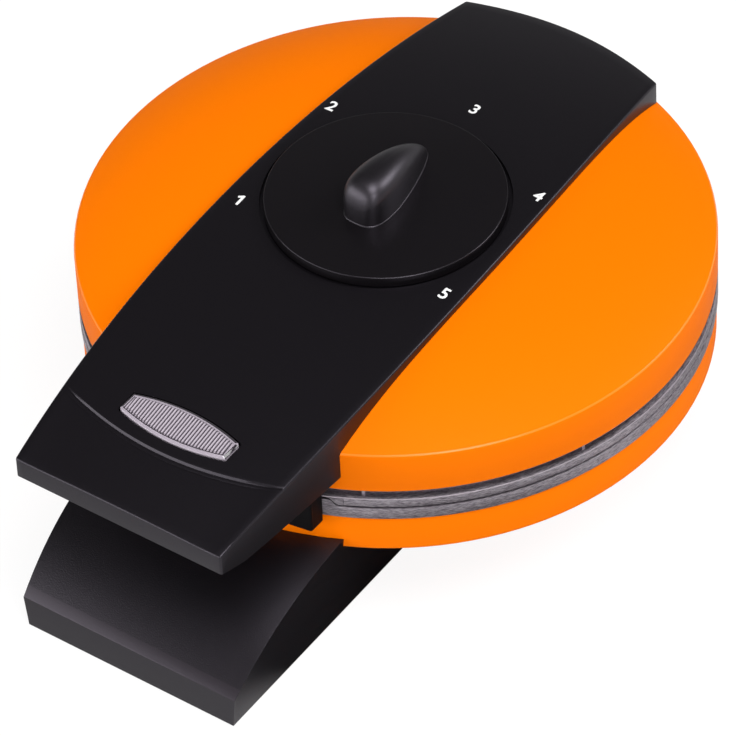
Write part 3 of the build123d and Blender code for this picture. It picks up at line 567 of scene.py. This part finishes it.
# the lid's lip in bright metal: a painted highlight line
paint(lidShell, materials["highlightAluminium"], lambda f: middle(f).z < lid["lip"] + lid["highlightLip"])
# a paler enamel on the shoulder: a painted highlight
paint(lidShell, materials["highlightEnamel"], lambda f: onShoulder(f, lid, 1))
baseShell = domedShell("baseShell", base, -1)
finishPiece(baseShell, "base", materials["orangeEnamel"], ["base_shell"])
# a paler enamel on the shoulder: a painted highlight
paint(baseShell, materials["highlightEnamel"], lambda f: onShoulder(f, base, -1))
print("shells made")

# Band over the lid with the upper handle: an open hood with a moulded step before the lens
band = {"front": -162.0, "rearRadius": 111.0, "rearCorner": 103.2, "rearStart": 60, "neckEnd": -90,
        "half": (49.33, 3.40, 4.59), "arch": (98.7, 0.55, 5.85, 0.78, 0.63), "crown": 0.8, "skin": 2.5,
        "columns": 28, "handleRows": 8, "neckRows": 12, "roofRows": (-80, 61, 7), "rearRows": 10,
        "under": 70.8, "lipZ": 73.2, "lipY": -151.0,
        "round": 1.1, "sharp": 50, "upper": 74, "upright": 0.3, "clear": 0.15, "overlap": 0.1, "cutLow": 50,
        "stepMiddle": -138.0, "stepEdge": -129.5, "stepRise": 0.55, "beforeStep": 2.4, "afterStep": 1.4,
        "stepLine": ((-1.9, 0.55), (-1.6, 0.67), (-1.3, 0.55), (-0.5, 0.57), (-0.3, 0.85), (-0.1, 0.85),
                     (0.1, 0.6), (0.5, 0.06), (0.7, 0.0), (1.4, 0.0))}

# The dial's place, which the band makes room for
dial = {"y": -4.6, "radius": 42.3, "recess": 44.0, "floor": 96.8, "top": 101.3, "bottom": 97.4,
        "cupRadius": 46, "cutTop": 110, "holeRadius": 9.0, "holeMiddle": 96, "holeLength": 12}


def bandHalf(y):
    # the long edges bow outwards, widest a little ahead of the dial; u counts in steps of 100 mm
    u = y / 100
    width, slant, bow = band["half"]
    return width - slant * u - bow * u * u


def bandEdge(y):
    # the arch, which falls faster towards the handle than towards the hinge
    u = y / 100
    top, slant, bow, skew, droop = band["arch"]
    return top + slant * u - bow * u ** 2 - skew * u ** 3 - droop * u ** 4


def bandSlope(y):
    # the arch's slope, over a millimetre
    return bandEdge(y + 0.5) - bandEdge(y - 0.5)


def bandRows():
    # each row's y in the middle, its y at the edge, and how far its middle lies below the crown
    front, centre, edge = band["front"], band["stepMiddle"], band["stepEdge"]
    before, after = band["beforeStep"], band["afterStep"]
    neck, rear = band["neckEnd"], band["rearStart"]
    rows = []
    for k in range(band["handleRows"] + 1):
        share = k / band["handleRows"]
        rows.append((front + share * (centre - before - front), front + share * (edge - before - front),
                     band["stepRise"]))
    for back, low in band["stepLine"]:
        rows.append((centre + back, edge + back, low))
    for k in range(1, band["neckRows"] + 1):
        share = k / band["neckRows"]
        rows.append((centre + after + share * (neck - centre), edge + after + share * (neck - edge), 0.0))
    for y in range(*band["roofRows"]):
        rows.append((y, y, 0.0))
    for k in range(1, band["rearRows"] + 1):
        share = k / band["rearRows"]
        rows.append((rear + share * (band["rearRadius"] - rear),
                     rear + share * (band["rearCorner"] - rear), 0.0))
    return rows


rows = bandRows()


def bandTop(column, row):
    # a point of the hood's top, which curves down to both sides; the step fades out close to them
    across = 2 * column / band["columns"] - 1
    centre, edge, low = rows[row]
    y = centre + (edge - centre) * across ** 2
    return across * bandHalf(y), y, bandEdge(y) + band["crown"] * (1 - across ** 2) - low * (1 - across ** 8)


def makeBand():
    # the top, its outline drawn down to a level underside, cut slanting in front and given a wall
    hood = shapedGrid("lidBand", band["columns"], len(rows) - 1, bandTop)
    pick(hood, "EDGE", lambda e: e.is_boundary)
    bpy.ops.mesh.extrude_region_move(TRANSFORM_OT_translate={"value": (0, 0, -mm)})
    bpy.ops.transform.resize(value=(1, 1, 0), center_override=at(0, 0, band["under"]))
    slope = Vector((0, band["lipZ"] - band["under"], band["lipY"] - band["front"]))
    bpy.ops.mesh.select_all(action="SELECT")
    bpy.ops.mesh.bisect(plane_co=at(0, band["lipY"], band["under"]), plane_no=slope.normalized(),
                        clear_inner=True)
    bpy.ops.mesh.select_all(action="SELECT")
    bpy.ops.mesh.normals_make_consistent(inside=False)
    bpy.ops.object.mode_set(mode="OBJECT")
    makeActive(hood)
    wall = hood.modifiers.new("wall", "SOLIDIFY")
    wall.thickness = band["skin"] * mm
    wall.offset = -1
    wall.use_even_offset = True
    bpy.ops.object.modifier_apply(modifier=wall.name)
    return hood


def onHood(edge):
    # the hood's upper outline, where its top meets an upright side
    return (edgeAngle(edge) > band["sharp"] and max(v.co.z for v in edge.verts) > band["upper"] * mm
            and min(abs(f.normal.z) for f in edge.link_faces) < band["upright"])


lidBand = makeBand()
roundEdges(lidBand, onHood, band["round"])
print("band drawn", len(lidBand.data.polygons))

cupLow, cupHigh = lid["seat"] + band["clear"], dial["floor"] + band["overlap"]
cup = turned("cup", [(0, cupLow), (dial["cupRadius"], cupLow), (dial["cupRadius"], cupHigh), (0, cupHigh)],
             (0, dial["y"]))
combine(lidBand, cup, "UNION")

# The hinge lug's outline: up behind the lid, in under the band, down its own back and round the pin
hinge = {"y": 118.0, "z": 57.0, "radius": 5.5, "half": 14.6, "pin": 2.05, "pinLength": 60, "turn": 15,
         "back": ((112.45, 57), (112.45, 83), (109.4, 83), (109.4, 87.6), (112, 86.2), (121.5, 72),
                  (123.5, 57))}
lugLine = list(hinge["back"])
for turn in range(hinge["turn"], 180, hinge["turn"]):
    angle = math.radians(turn)
    lugLine.append((hinge["y"] + hinge["radius"] * math.cos(angle),
                    hinge["z"] - hinge["radius"] * math.sin(angle)))
lug = prism("lug", [(-hinge["half"], y, z) for y, z in lugLine], (2 * hinge["half"], 0, 0))
combine(lidBand, lug, "UNION")

# Room for the lid shell, the dial, its hub and the hinge pin
overLine = [(r, lid["shoulder"] + band["clear"] + h) for r, h in domeOutline(lid, -band["clear"])]
overLine += [(lid["radius"] + band["clear"], band["cutLow"]), (0, band["cutLow"])]
combine(lidBand, turned("lidCutter", overLine), "DIFFERENCE")
recess = turned("recessCutter", [(0, dial["floor"]), (dial["recess"], dial["floor"]),
                                 (dial["recess"], dial["cutTop"]), (0, dial["cutTop"])], (0, dial["y"]))
combine(lidBand, recess, "DIFFERENCE")
hubHole = bar("hubHole", (0, dial["y"], dial["holeMiddle"]), dial["holeRadius"], dial["holeLength"], "Z")
combine(lidBand, hubHole, "DIFFERENCE")
pinHole = bar("pinHole", (0, hinge["y"], hinge["z"]), hinge["pin"], hinge["pinLength"], "X")
combine(lidBand, pinHole, "DIFFERENCE")

# Pilot lens: a barrel-shaped bar with clipped ends, square to the handle's top, ribbed in its pocket
lens = {"y": -126.0, "halfLength": 22.6, "halfWidth": 7.0, "endHalf": 3.0, "clip": 0.8, "clipWide": 0.9,
        "steps": 16, "gap": 0.45, "cut": 8, "depth": 4, "rim": 0.1, "slope": 1.05, "rise": 0.6, "flat": 0.35,
        "wall": 0.12, "pocket": 0.4, "margin": 0.42, "ribs": 33, "ribShape": (0, 0.8, 1, 0.8),
        "ribRise": 0.32, "ribLift": 0.03, "ribDepth": 1.2, "round": 0.16, "sharp": 15, "edgeNear": 0.03,
        "up": 0.9, "near": 0.05, "slack": 0.1, "farSide": 0.2, "endSide": 0.45, "endLow": 0.3, "ahead": 2}
lensTop = bandEdge(lens["y"]) + band["crown"]
lensSlope = bandSlope(lens["y"])
lensFloor = lens["rim"] + lens["rise"] - lens["pocket"]


def lensOutline(grow):
    # one long side as an arc and the end's far corner, then the same turned round
    steps = lens["steps"]
    endX = lens["halfLength"] - lens["clip"] + grow
    endY = lens["endHalf"] + lens["clipWide"] + grow
    wide = lens["halfWidth"] + grow
    side = [(-endX + 2 * endX * k / steps, endY + (wide - endY) * (1 - (2 * k / steps - 1) ** 2))
            for k in range(steps + 1)]
    half = side + [(lens["halfLength"] + grow, lens["endHalf"] + grow)]
    return half + [(-x, -y) for x, y in half]


def onLens(x, y, h):
    # a point of the lens, given across, along and above the handle's top
    return x, lens["y"] + y - h * lensSlope, lensTop + y * lensSlope + h


def aboveTop(point):
    # how far a point near the lens lies above the handle's top
    return point.z - lensTop - (point.y - lens["y"]) * lensSlope


def lensBar(name, grow, low, high):
    drop = (0, -(high - low) * lensSlope, high - low)
    return prism(name, [onLens(x, y, low) for x, y in lensOutline(grow)], drop)


combine(lidBand, lensBar("lensCutter", lens["gap"], -lens["cut"], lens["cut"]), "DIFFERENCE")
finishPiece(lidBand, "lid", materials["grainedPlastic"], ["lid_band"])
print("band made", len(lidBand.data.polygons))


def ribHalf(x):
    # half the ribbed field's width at x
    inset = lens["slope"] + lens["flat"] + lens["margin"]
    end = lens["halfLength"] - lens["clip"] - inset
    bow = lens["halfWidth"] - lens["endHalf"] - lens["clipWide"]
    return lens["endHalf"] + lens["clipWide"] - inset + bow * (1 - min(1, abs(x) / end) ** 2)


def ribPoint(column, row):
    # four columns to a rib, its valley and then its rounded crest; three rows across the field
    columns = len(lens["ribShape"])
    x = (column / columns - lens["ribs"] / 2) * ribPitch
    crest = lens["ribShape"][column % columns] * lens["ribRise"]
    return onLens(x, (row - 1) * ribHalf(x), lensFloor + lens["ribLift"] + crest)


def onBar(edge):
    # the bar's outline, level with the foot of its sloping rim
    height = max(aboveTop(spot(v)) for v in edge.verts)
    return edgeAngle(edge) > lens["sharp"] and abs(height - lens["rim"]) < lens["edgeNear"]


def onRibs(point):
    # whether a face's middle lies in the ribbed field, above its floor
    return (abs(point.y - lens["y"]) < ribHalf(point.x) + lens["slack"]
            and abs(point.x) < ribPitch * lens["ribs"] / 2 + lens["slack"]
            and aboveTop(point) > lensFloor - lens["slack"])


def inShade(face):
    # faces that get painted shade: the rim's far side, its ends, the floor that shows as a dark line round
    # the ribs, and the flat in front
    place = middle(face)
    height = aboveTop(place)
    level = face.normal.z > lens["up"]
    end = abs(face.normal.x) > lens["endSide"] and place.z > lensTop - lens["endLow"] and not onRibs(place)
    floor = level and abs(height - lensFloor) < lens["near"] and not onRibs(place)
    flat = level and abs(height - lens["rim"] - lens["rise"]) < lens["near"]
    return face.normal.y > lens["farSide"] or end or floor or flat and place.y < lens["y"] - lens["ahead"]


def makeLens():
    piece = lensBar("pilotLens", 0, -lens["depth"], lens["rim"])
    makeActive(piece)
    bpy.ops.object.mode_set(mode="EDIT")
    pick(piece, "FACE", lambda f: f.normal.z > lens["up"])
    bpy.ops.mesh.inset(thickness=lens["slope"] * mm, depth=lens["rise"] * mm)
    bpy.ops.mesh.inset(thickness=lens["flat"] * mm, depth=0)
    bpy.ops.mesh.inset(thickness=lens["wall"] * mm, depth=-lens["pocket"] * mm)
    bpy.ops.object.mode_set(mode="OBJECT")
    ribs = shapedGrid("lensRibs", len(lens["ribShape"]) * lens["ribs"], 2, ribPoint)
    bpy.ops.mesh.select_all(action="SELECT")
    bpy.ops.mesh.extrude_region_move(TRANSFORM_OT_translate={"value": (0, 0, -lens["ribDepth"] * mm)})
    closeUp(ribs)
    combine(piece, ribs, "UNION")
    roundEdges(piece, onBar, lens["round"], 2)
    # the rim painted pale as if lit: painted light
    finishPiece(piece, "lid", materials["litRim"], ["pilot_lens"])
    # the ribs with their painted light and shade
    paint(piece, materials["ribbedLens"], lambda f: onRibs(middle(f)))
    # the faces in shade painted dark: painted shade
    paint(piece, materials["shadedRim"], inShade)
    return piece


pilotLens = makeLens()
print("lens made", len(pilotLens.data.polygons))

# Dial disc with its hub
disc = {"edge": 0.4, "turn": 15, "steps": 160, "skirt": 40.3, "ceiling": 99.5, "hub": 6.5, "hubLow": 91,
        "bore": 3.02, "boreTop": 98}
discLine = [(0, dial["top"])]
for turn in range(0, 91, disc["turn"]):
    angle = math.radians(turn)
    discLine.append((dial["radius"] - disc["edge"] + disc["edge"] * math.sin(angle),
                     dial["top"] - disc["edge"] + disc["edge"] * math.cos(angle)))
discLine += [(dial["radius"], dial["bottom"]), (disc["skirt"], dial["bottom"]),
             (disc["skirt"], disc["ceiling"]), (disc["hub"], disc["ceiling"]), (disc["hub"], disc["hubLow"]),
             (disc["bore"], disc["hubLow"]), (disc["bore"], disc["boreTop"]), (0, disc["boreTop"])]
dialDisc = turned("dialDisc", discLine, (0, dial["y"]), disc["steps"])
finishPiece(dialDisc, "dial", materials["satinPlastic"], ["dial_disc"])

# Teardrop grip: the powers of its outline and its crest, ahead of the peak and behind it, how upright its
# flanks are, and the rows of its foot with a thin flange; heights are counted from the disc
grip = {"front": -22.5, "tip": 20.5, "centre": -9.0, "peak": -10.0, "height": 16.1, "half": 8.3,
        "outline": ((3.1, 3.1), (1.4, 1.4)), "crest": ((3.2, 3.2), (2.1, 1.6)), "flank": 0.49,
        "full": 2.6, "lessFull": 0.5, "least": 0.6, "smooth": 50, "around": 80, "flange": 0.2,
        "footWide": (0, 1, 1, 0.5, 0, 0), "footHigh": (-0.2, -0.2, 0.3, 0.42, 0.5),
        "rings": (0.988, 0.975, 0.96, 0.94, 0.915, 0.885, 0.85, 0.8, 0.74, 0.66, 0.56, 0.44, 0.3, 0.15, 0.0)}


def gripShare(y, powers):
    # 1 at the peak, falling to 0 at the blunt front and at the rounded tip
    ahead = y < grip["peak"]
    end = grip["front"] if ahead else grip["tip"]
    fall, root = powers[0] if ahead else powers[1]
    return (1 - min(1, (y - grip["peak"]) / (end - grip["peak"])) ** fall) ** (1 / root)


def gripHalf(y):
    return grip["half"] * gripShare(y, grip["outline"])


def gripCrest(y):
    return grip["height"] * gripShare(y, grip["crest"])


def gripHeight(x, y):
    half = gripHalf(y)
    across = min(1, abs(x) / half) if half > 0 else 1
    full = grip["full"] - grip["lessFull"] * (y - grip["front"]) / (grip["tip"] - grip["front"])
    return gripCrest(y) * (grip["flank"] + (1 - grip["flank"]) * (1 - across ** full) ** (1 / full))


def gripPoint(column, row):
    # rows run from the underside out to a thin flange, up the flank and in over the top
    turn = 2 * math.pi * (column % grip["around"]) / grip["around"]
    centre, reach = (grip["tip"] + grip["front"]) / 2, (grip["tip"] - grip["front"]) / 2
    y = centre - reach * math.cos(turn)
    x = gripHalf(y) * (1 if turn < math.pi else -1)
    wide = grip["footWide"]
    high = grip["footHigh"] + (max(grip["least"], grip["flank"] * gripCrest(y)),)
    if row == 0:
        return 0, grip["centre"], dial["top"] + high[0]
    if row < len(wide):
        grow = wide[row] * grip["flange"]
        x += grow * math.copysign(min(1, abs(x)), x)
        y -= grow * math.cos(turn) ** 3
        return x, y, dial["top"] + high[row]
    share = grip["rings"][row - len(wide)]
    x, y = x * share, grip["centre"] + (y - grip["centre"]) * share
    return x, y, dial["top"] + max(grip["least"], gripHeight(x, y))


gripRows = len(grip["footWide"]) + len(grip["rings"]) - 1
dialGrip = shapedGrid("dialGrip", grip["around"], gripRows, gripPoint)
closeUp(dialGrip)
finishPiece(dialGrip, "dial", materials["gripPlastic"], ["dial_grip"], grip["smooth"])
print("dial made")

# Numbers round the dial, printed on the band; the 1 is drawn, because the type's own figure has no flag
numbers = {"size": 7.0, "bolder": 0.13, "thick": 0.06,
           "one": ((-0.1, -2.4), (0.9, -2.4), (0.9, 2.5), (0.1, 2.5), (-1.5, 1.5), (-1.1, 0.75),
                   (-0.1, 1.3)),
           "places": {"1": (-42.9, -31.8), "2": (-43.7, 24.5), "3": (-0.8, 50.6), "4": (43.4, 25.2),
                      "5": (43.5, -32.1)}}


def drawOne():
    # prism counts from the round body's axis, and the number is drawn about the world's own
    origin = at(0, 0, 0)
    outline = [(x - origin.x / mm, y - origin.y / mm, -numbers["thick"]) for x, y in numbers["one"]]
    return prism("number1", outline, (0, 0, 2 * numbers["thick"]))


def typeNumber(text):
    bpy.ops.object.text_add(location=(0, 0, 0))
    piece = bpy.context.object
    piece.data.body = text
    piece.data.size = numbers["size"] * mm
    piece.data.align_x = "CENTER"
    piece.data.align_y = "CENTER"
    piece.data.offset = numbers["bolder"] * mm
    piece.data.extrude = numbers["thick"] * mm
    bpy.ops.object.convert(target="MESH")
    piece = bpy.context.object
    piece.name = "number" + text
    return piece


def makeNumber(text, x, y):
    # laid on the band's top, along its slope and its curve
    bpy.ops.object.select_all(action="DESELECT")
    piece = drawOne() if text == "1" else typeNumber(text)
    makeActive(piece)
    bpy.ops.object.transform_apply(location=True, rotation=True, scale=True)
    lean = -2 * band["crown"] * x / bandHalf(y) ** 2
    height = bandEdge(y) + band["crown"] * (1 - (x / bandHalf(y)) ** 2)
    piece.location = at(x, y, height)
    piece.rotation_euler = (math.atan(bandSlope(y)), -math.atan(lean), 0)
    finishPiece(piece, "lid", materials["whitePrint"])


for text, (x, y) in numbers["places"].items():
    makeNumber(text, x, y)
print("numbers made")

# Pieces whose shape is the CAD node's own, with their edges rounded
stand = {"round": 1.0, "sharp": 25, "low": 3, "wide": 40, "front": -104, "paintedLightFront": -158,
         "paintedLightLow": 11.5, "paintedLightHigh": 15.5, "leanLow": 0.12, "leanHigh": 0.8, "forward": -0.4}
block = {"round": 0.4, "sharp": 60, "front": -110}
underside = {"round": 0.3, "sharp": 60, "front": -112, "length": 8}


def roundedNode(node, name, body, finish, test, width, segments=3):
    piece = copyOfNode(node, name)
    roundEdges(piece, test, width, segments)
    return finishPiece(piece, body, materials[finish], [node])


def onStand(edge):
    # the lower handle's edges, clear of the ground
    return (edgeAngle(edge) > stand["sharp"] and min(v.co.z for v in edge.verts) > stand["low"] * mm
            and max(abs(spot(v).x) for v in edge.verts) > stand["wide"]
            and min(spot(v).y for v in edge.verts) < stand["front"])


def onStandHighlight(face):
    # the rounded edge along the lower handle's front, which gets the painted highlight
    place = middle(face)
    return (place.y < stand["paintedLightFront"] and stand["paintedLightLow"] < place.z < stand["paintedLightHigh"]
            and stand["leanLow"] < face.normal.z < stand["leanHigh"] and face.normal.y < stand["forward"])


def inFront(edge, form):
    # a sharp edge that lies ahead of the form's limit
    return edgeAngle(edge) > form["sharp"] and max(spot(v).y for v in edge.verts) < form["front"]


standHood = roundedNode("stand_band", "standHood", "base", "coarsePlastic", onStand,
                        stand["round"])
# a paler plastic on the front edge: a painted highlight
paint(standHood, materials["highlightPlastic"], onStandHighlight)
roundedNode("handle_block", "guardBlock", "lid", "dullPlastic",
            lambda e: inFront(e, block), block["round"])
roundedNode("handle_undercover", "handleUnderside", "lid", "dullPlastic",
            lambda e: inFront(e, underside) and e.calc_length() > underside["length"] * mm,
            underside["round"], 2)
print("plastic pieces rounded")

# Baking plates: turned rims with small chamfers painted bright as a highlight, and a coat on the baking
# faces
rim = {"radius": 112.0, "low": 56.3, "high": 60.8, "wall": 108.0, "chamfer": 0.26, "under": 0.45,
       "parted": (56.9, 59.8), "sharp": 30, "near": 0.05, "level": 0.03, "edgeWide": 0.5, "edgeTall": 0.4,
       "leanLow": 0.1, "leanHigh": 0.97, "postUp": 0.2, "postOut": 0.4,
       "coat": 107.6, "side": 0.1, "lowerCoat": (47, 56.2), "upperCoat": (57, 66.2),
       "tabHalf": 47.0, "tabFlat": 43.2, "tabRise": 2.9}


def onRim(edge, heights):
    # an edge round the rim's outside, at one of the heights
    spots = [spot(v) for v in edge.verts]
    return all(abs(math.hypot(p.x, p.y) - rim["radius"]) < rim["near"]
               and any(abs(p.z - h) < rim["level"] for h in heights) for p in spots)


# the rim's chamfer faces, painted bright as a highlight
def onChamfer(face, height):
    return (fromAxis(face) > rim["radius"] - rim["edgeWide"]
            and abs(middle(face).z - height) < rim["edgeTall"]
            and rim["leanLow"] < face.normal.z < rim["leanHigh"])


def onPost(face):
    # the small posts that stand on the upper plate's ledge, painted bright as a highlight
    return middle(face).z > rim["high"] + rim["postUp"] and fromAxis(face) > rim["wall"] + rim["postOut"]


def inCoat(face, low, high):
    return low < middle(face).z < high and fromAxis(face) < rim["coat"]


lowerPlate = roundedNode("lower_plate", "lowerBakingPlate", "base", "castAluminium",
                         lambda e: onRim(e, (rim["low"],)), rim["chamfer"], 2)
# painted highlight on the lower rim's chamfer
paint(lowerPlate, materials["highlightAluminium"], lambda f: onChamfer(f, rim["low"]))
paint(lowerPlate, materials["nonStick"],
      lambda f: f.normal.z > -rim["side"] and inCoat(f, *rim["lowerCoat"]))
upperPlate = roundedNode("upper_plate", "upperBakingPlate", "lid", "castAluminium",
                         lambda e: onRim(e, (rim["high"],)), rim["chamfer"], 2)
roundEdges(upperPlate, lambda e: onRim(e, rim["parted"]) and edgeAngle(e) > rim["sharp"], rim["under"], 1)
# painted highlight on the upper rim's chamfer and on the posts
paint(upperPlate, materials["highlightAluminium"], lambda f: onChamfer(f, rim["high"]))
paint(upperPlate, materials["highlightAluminium"], onPost)
paint(upperPlate, materials["nonStick"],
      lambda f: f.normal.z < rim["side"] and inCoat(f, *rim["upperCoat"]))

# The upper plate's ledge runs down over the lower plate's tab: one short piece of it at each side
ledge = {"start": 48.2, "length": 5.2, "columns": 20, "deep": 0.3, "shy": 0.02, "gap": 0.6, "into": 0.2,
         "endGap": 0.85}


def tabTop(x):
    # the lower plate's tab falls to its rim in an S
    share = min(1, max(0, (rim["tabHalf"] - abs(x)) / (rim["tabHalf"] - rim["tabFlat"])))
    return rim["low"] + rim["tabRise"] * share * share * (3 - 2 * share)


def ledgeEnd(side):
    def place(column, row):
        # four corners of a section, low inside, low outside, high outside and high inside
        corner = row % 4
        x = side * (ledge["start"] - ledge["length"] * column / ledge["columns"])
        radius = rim["radius"] - ledge["shy"] if corner in (1, 2) else rim["wall"] - ledge["deep"]
        z = tabTop(x) + ledge["endGap"]
        if corner in (2, 3):
            z = rim["low"] + rim["tabRise"] + ledge["gap"] + ledge["into"]
        return x, -math.sqrt(radius ** 2 - x ** 2), z
    piece = shapedGrid("ledgeEnd" + ("Right" if side > 0 else "Left"), ledge["columns"], 4, place)
    bpy.ops.mesh.select_all(action="SELECT")
    bpy.ops.mesh.remove_doubles(threshold=weld)
    pick(piece, "EDGE", lambda e: e.is_boundary)
    bpy.ops.mesh.edge_face_add()
    closeUp(piece)
    finishPiece(piece, "lid", materials["castAluminium"])


for side in (1, -1):
    ledgeEnd(side)
print("plates made", len(lowerPlate.data.polygons), len(upperPlate.data.polygons))

# CAD nodes that stay as they are, with their finishes
finishes = {
    "coarsePlastic": ["stand_cover", "cord_gland", "hinge_ears", "lamp_holder", "terminal_block"],
    "nitrileRubber": ["rubber_feet"],
    "sheetAluminium": ["lower_reflector", "upper_reflector"],
    "platedSteel": ["cover_screws", "base_screws", "lower_reflector_screws", "ear_screws", "hinge_pin",
                    "hinge_caps", "band_screws", "undercover_screws", "block_screws", "lid_screws",
                    "upper_reflector_screws", "thermostat_bracket", "thermostat_screws", "thermostat_shaft",
                    "fuse_clip", "thermal_fuse"],
    "heaterSheath": ["lower_heater", "upper_heater"],
    "steatite": ["lower_terminals", "upper_terminals", "thermostat_body"],
    "lampGlass": ["pilot_lamp"],
}
for finish, nodes in finishes.items():
    for node in nodes:
        mesh = frame["nodes"][node].data
        mesh.materials.clear()
        mesh.materials.append(materials[finish])
print("nodes dressed")

# Floor, world and lamps
stage = {"steps": 96, "shown": 0.78, "mirrored": 0.2, "lift": 1.15, "air": 0.08,
         "paintedShadows": ({"place": (0.095, -0.076, 0), "full": 0.074, "gone": 0.09, "dark": 1.0},
                     {"place": (0.140, 0.084, 0), "full": 0.04, "gone": 0.1, "dark": 0.6}),
         "outline": ((0, 0), (1500, 0), (3000, 0), (3800, 60), (4500, 260), (5100, 640), (5500, 1150),
                     (5750, 1800), (5850, 2500), (5900, 3000))}
studioFloor = turned("studioFloor", stage["outline"], steps=stage["steps"])
bpy.ops.object.shade_smooth()
whiteFloor, floorShader, floorCoords = newMaterial("whiteFloor", {"Roughness": 0.9})
rays = addNode(whiteFloor, "ShaderNodeLightPath", {})

# painted shadow: dark patches of floor at the object's right side, seen only in what its surfaces mirror
shadowMasks = []
for patch in stage["paintedShadows"]:
    aside = addNode(whiteFloor, "ShaderNodeVectorMath", {"operation": "DISTANCE", 1: patch["place"]},
                    [(0, floorCoords, "Object")])
    shadowMasks.append(addNode(whiteFloor, "ShaderNodeMapRange", {
        "From Min": patch["full"], "From Max": patch["gone"], "To Min": patch["dark"], "To Max": 0.0},
        [("Value", aside, "Value")]))
shadowMask = addNode(whiteFloor, "ShaderNodeMath", {"operation": "MAXIMUM"},
               [(0, shadowMasks[0], "Result"), (1, shadowMasks[1], "Result")])
mirroredShadow = addNode(whiteFloor, "ShaderNodeMath", {"operation": "MULTIPLY"},
                 [(0, shadowMask, 0), (1, rays, "Is Glossy Ray")])
# the floor turns dark grey in mirrored rays where the painted shadow lies
tone = addNode(whiteFloor, "ShaderNodeMix", {
    "data_type": "RGBA", 6: hexColor("#D0D0D0"), 7: hexColor("#303030")}, [("Factor", mirroredShadow, 0)])
join(whiteFloor, tone, 2, floorShader, "Base Color")

# the floor that is seen is mostly plain white light, and the floor that is mirrored is a little of it
through = addNode(whiteFloor, "ShaderNodeMath", {"operation": "ADD"},
                  [(0, rays, "Is Camera Ray"), (1, rays, "Is Transmission Ray")])
direct = addNode(whiteFloor, "ShaderNodeMath", {"operation": "MULTIPLY", 1: stage["shown"]},
                 [(0, through, 0)])
beyond = addNode(whiteFloor, "ShaderNodeMath", {"operation": "SUBTRACT"},
                 [(0, rays, "Is Glossy Ray"), (1, mirroredShadow, 0)])
share = addNode(whiteFloor, "ShaderNodeMath", {
    "operation": "MULTIPLY_ADD", 1: stage["mirrored"], "use_clamp": True}, [(0, beyond, 0), (2, direct, 0)])
lift = addNode(whiteFloor, "ShaderNodeEmission", {"Color": (1, 1, 1, 1), "Strength": stage["lift"]})
both = addNode(whiteFloor, "ShaderNodeMixShader", {}, [("Fac", share, 0), (1, floorShader, 0), (2, lift, 0)])
join(whiteFloor, both, 0, whiteFloor.node_tree.nodes["Material Output"], "Surface")
studioFloor.data.materials.append(whiteFloor)

world = bpy.data.worlds.new("studio")
bpy.context.scene.world = world
world.use_nodes = True
air = world.node_tree.nodes["Background"]
air.inputs["Color"].default_value = (1, 1, 1, 1)
air.inputs["Strength"].default_value = stage["air"]

lamps = [
    {"name": "keyLamp", "place": (-1.25, -2.1, 0.66), "wide": 3.0, "tall": 1.15, "power": 42.0},
    {"name": "sideLamp", "place": (1.7, -1.2, 1.2), "wide": 1.0, "tall": 1.0, "power": 18.0},
    {"name": "backLamp", "place": (1.4, 1.4, 1.5), "wide": 1.0, "tall": 1.0, "power": 26.0},
    {"name": "topLamp", "place": (0.65, -0.5, 2.1), "wide": 1.2, "tall": 1.2, "power": 34.0},
]
for lamp in lamps:
    bpy.ops.object.select_all(action="DESELECT")
    bpy.ops.object.light_add(type="AREA", location=lamp["place"])
    light = bpy.context.object
    light.name = lamp["name"]
    light.data.shape = "RECTANGLE"
    light.data.size = lamp["wide"]
    light.data.size_y = lamp["tall"]
    light.data.energy = lamp["power"]
    light.rotation_euler = Vector(lamp["place"]).to_track_quat("Z", "Y").to_euler()

scene = bpy.context.scene
scene.view_settings.view_transform = "Standard"
print("stage set")
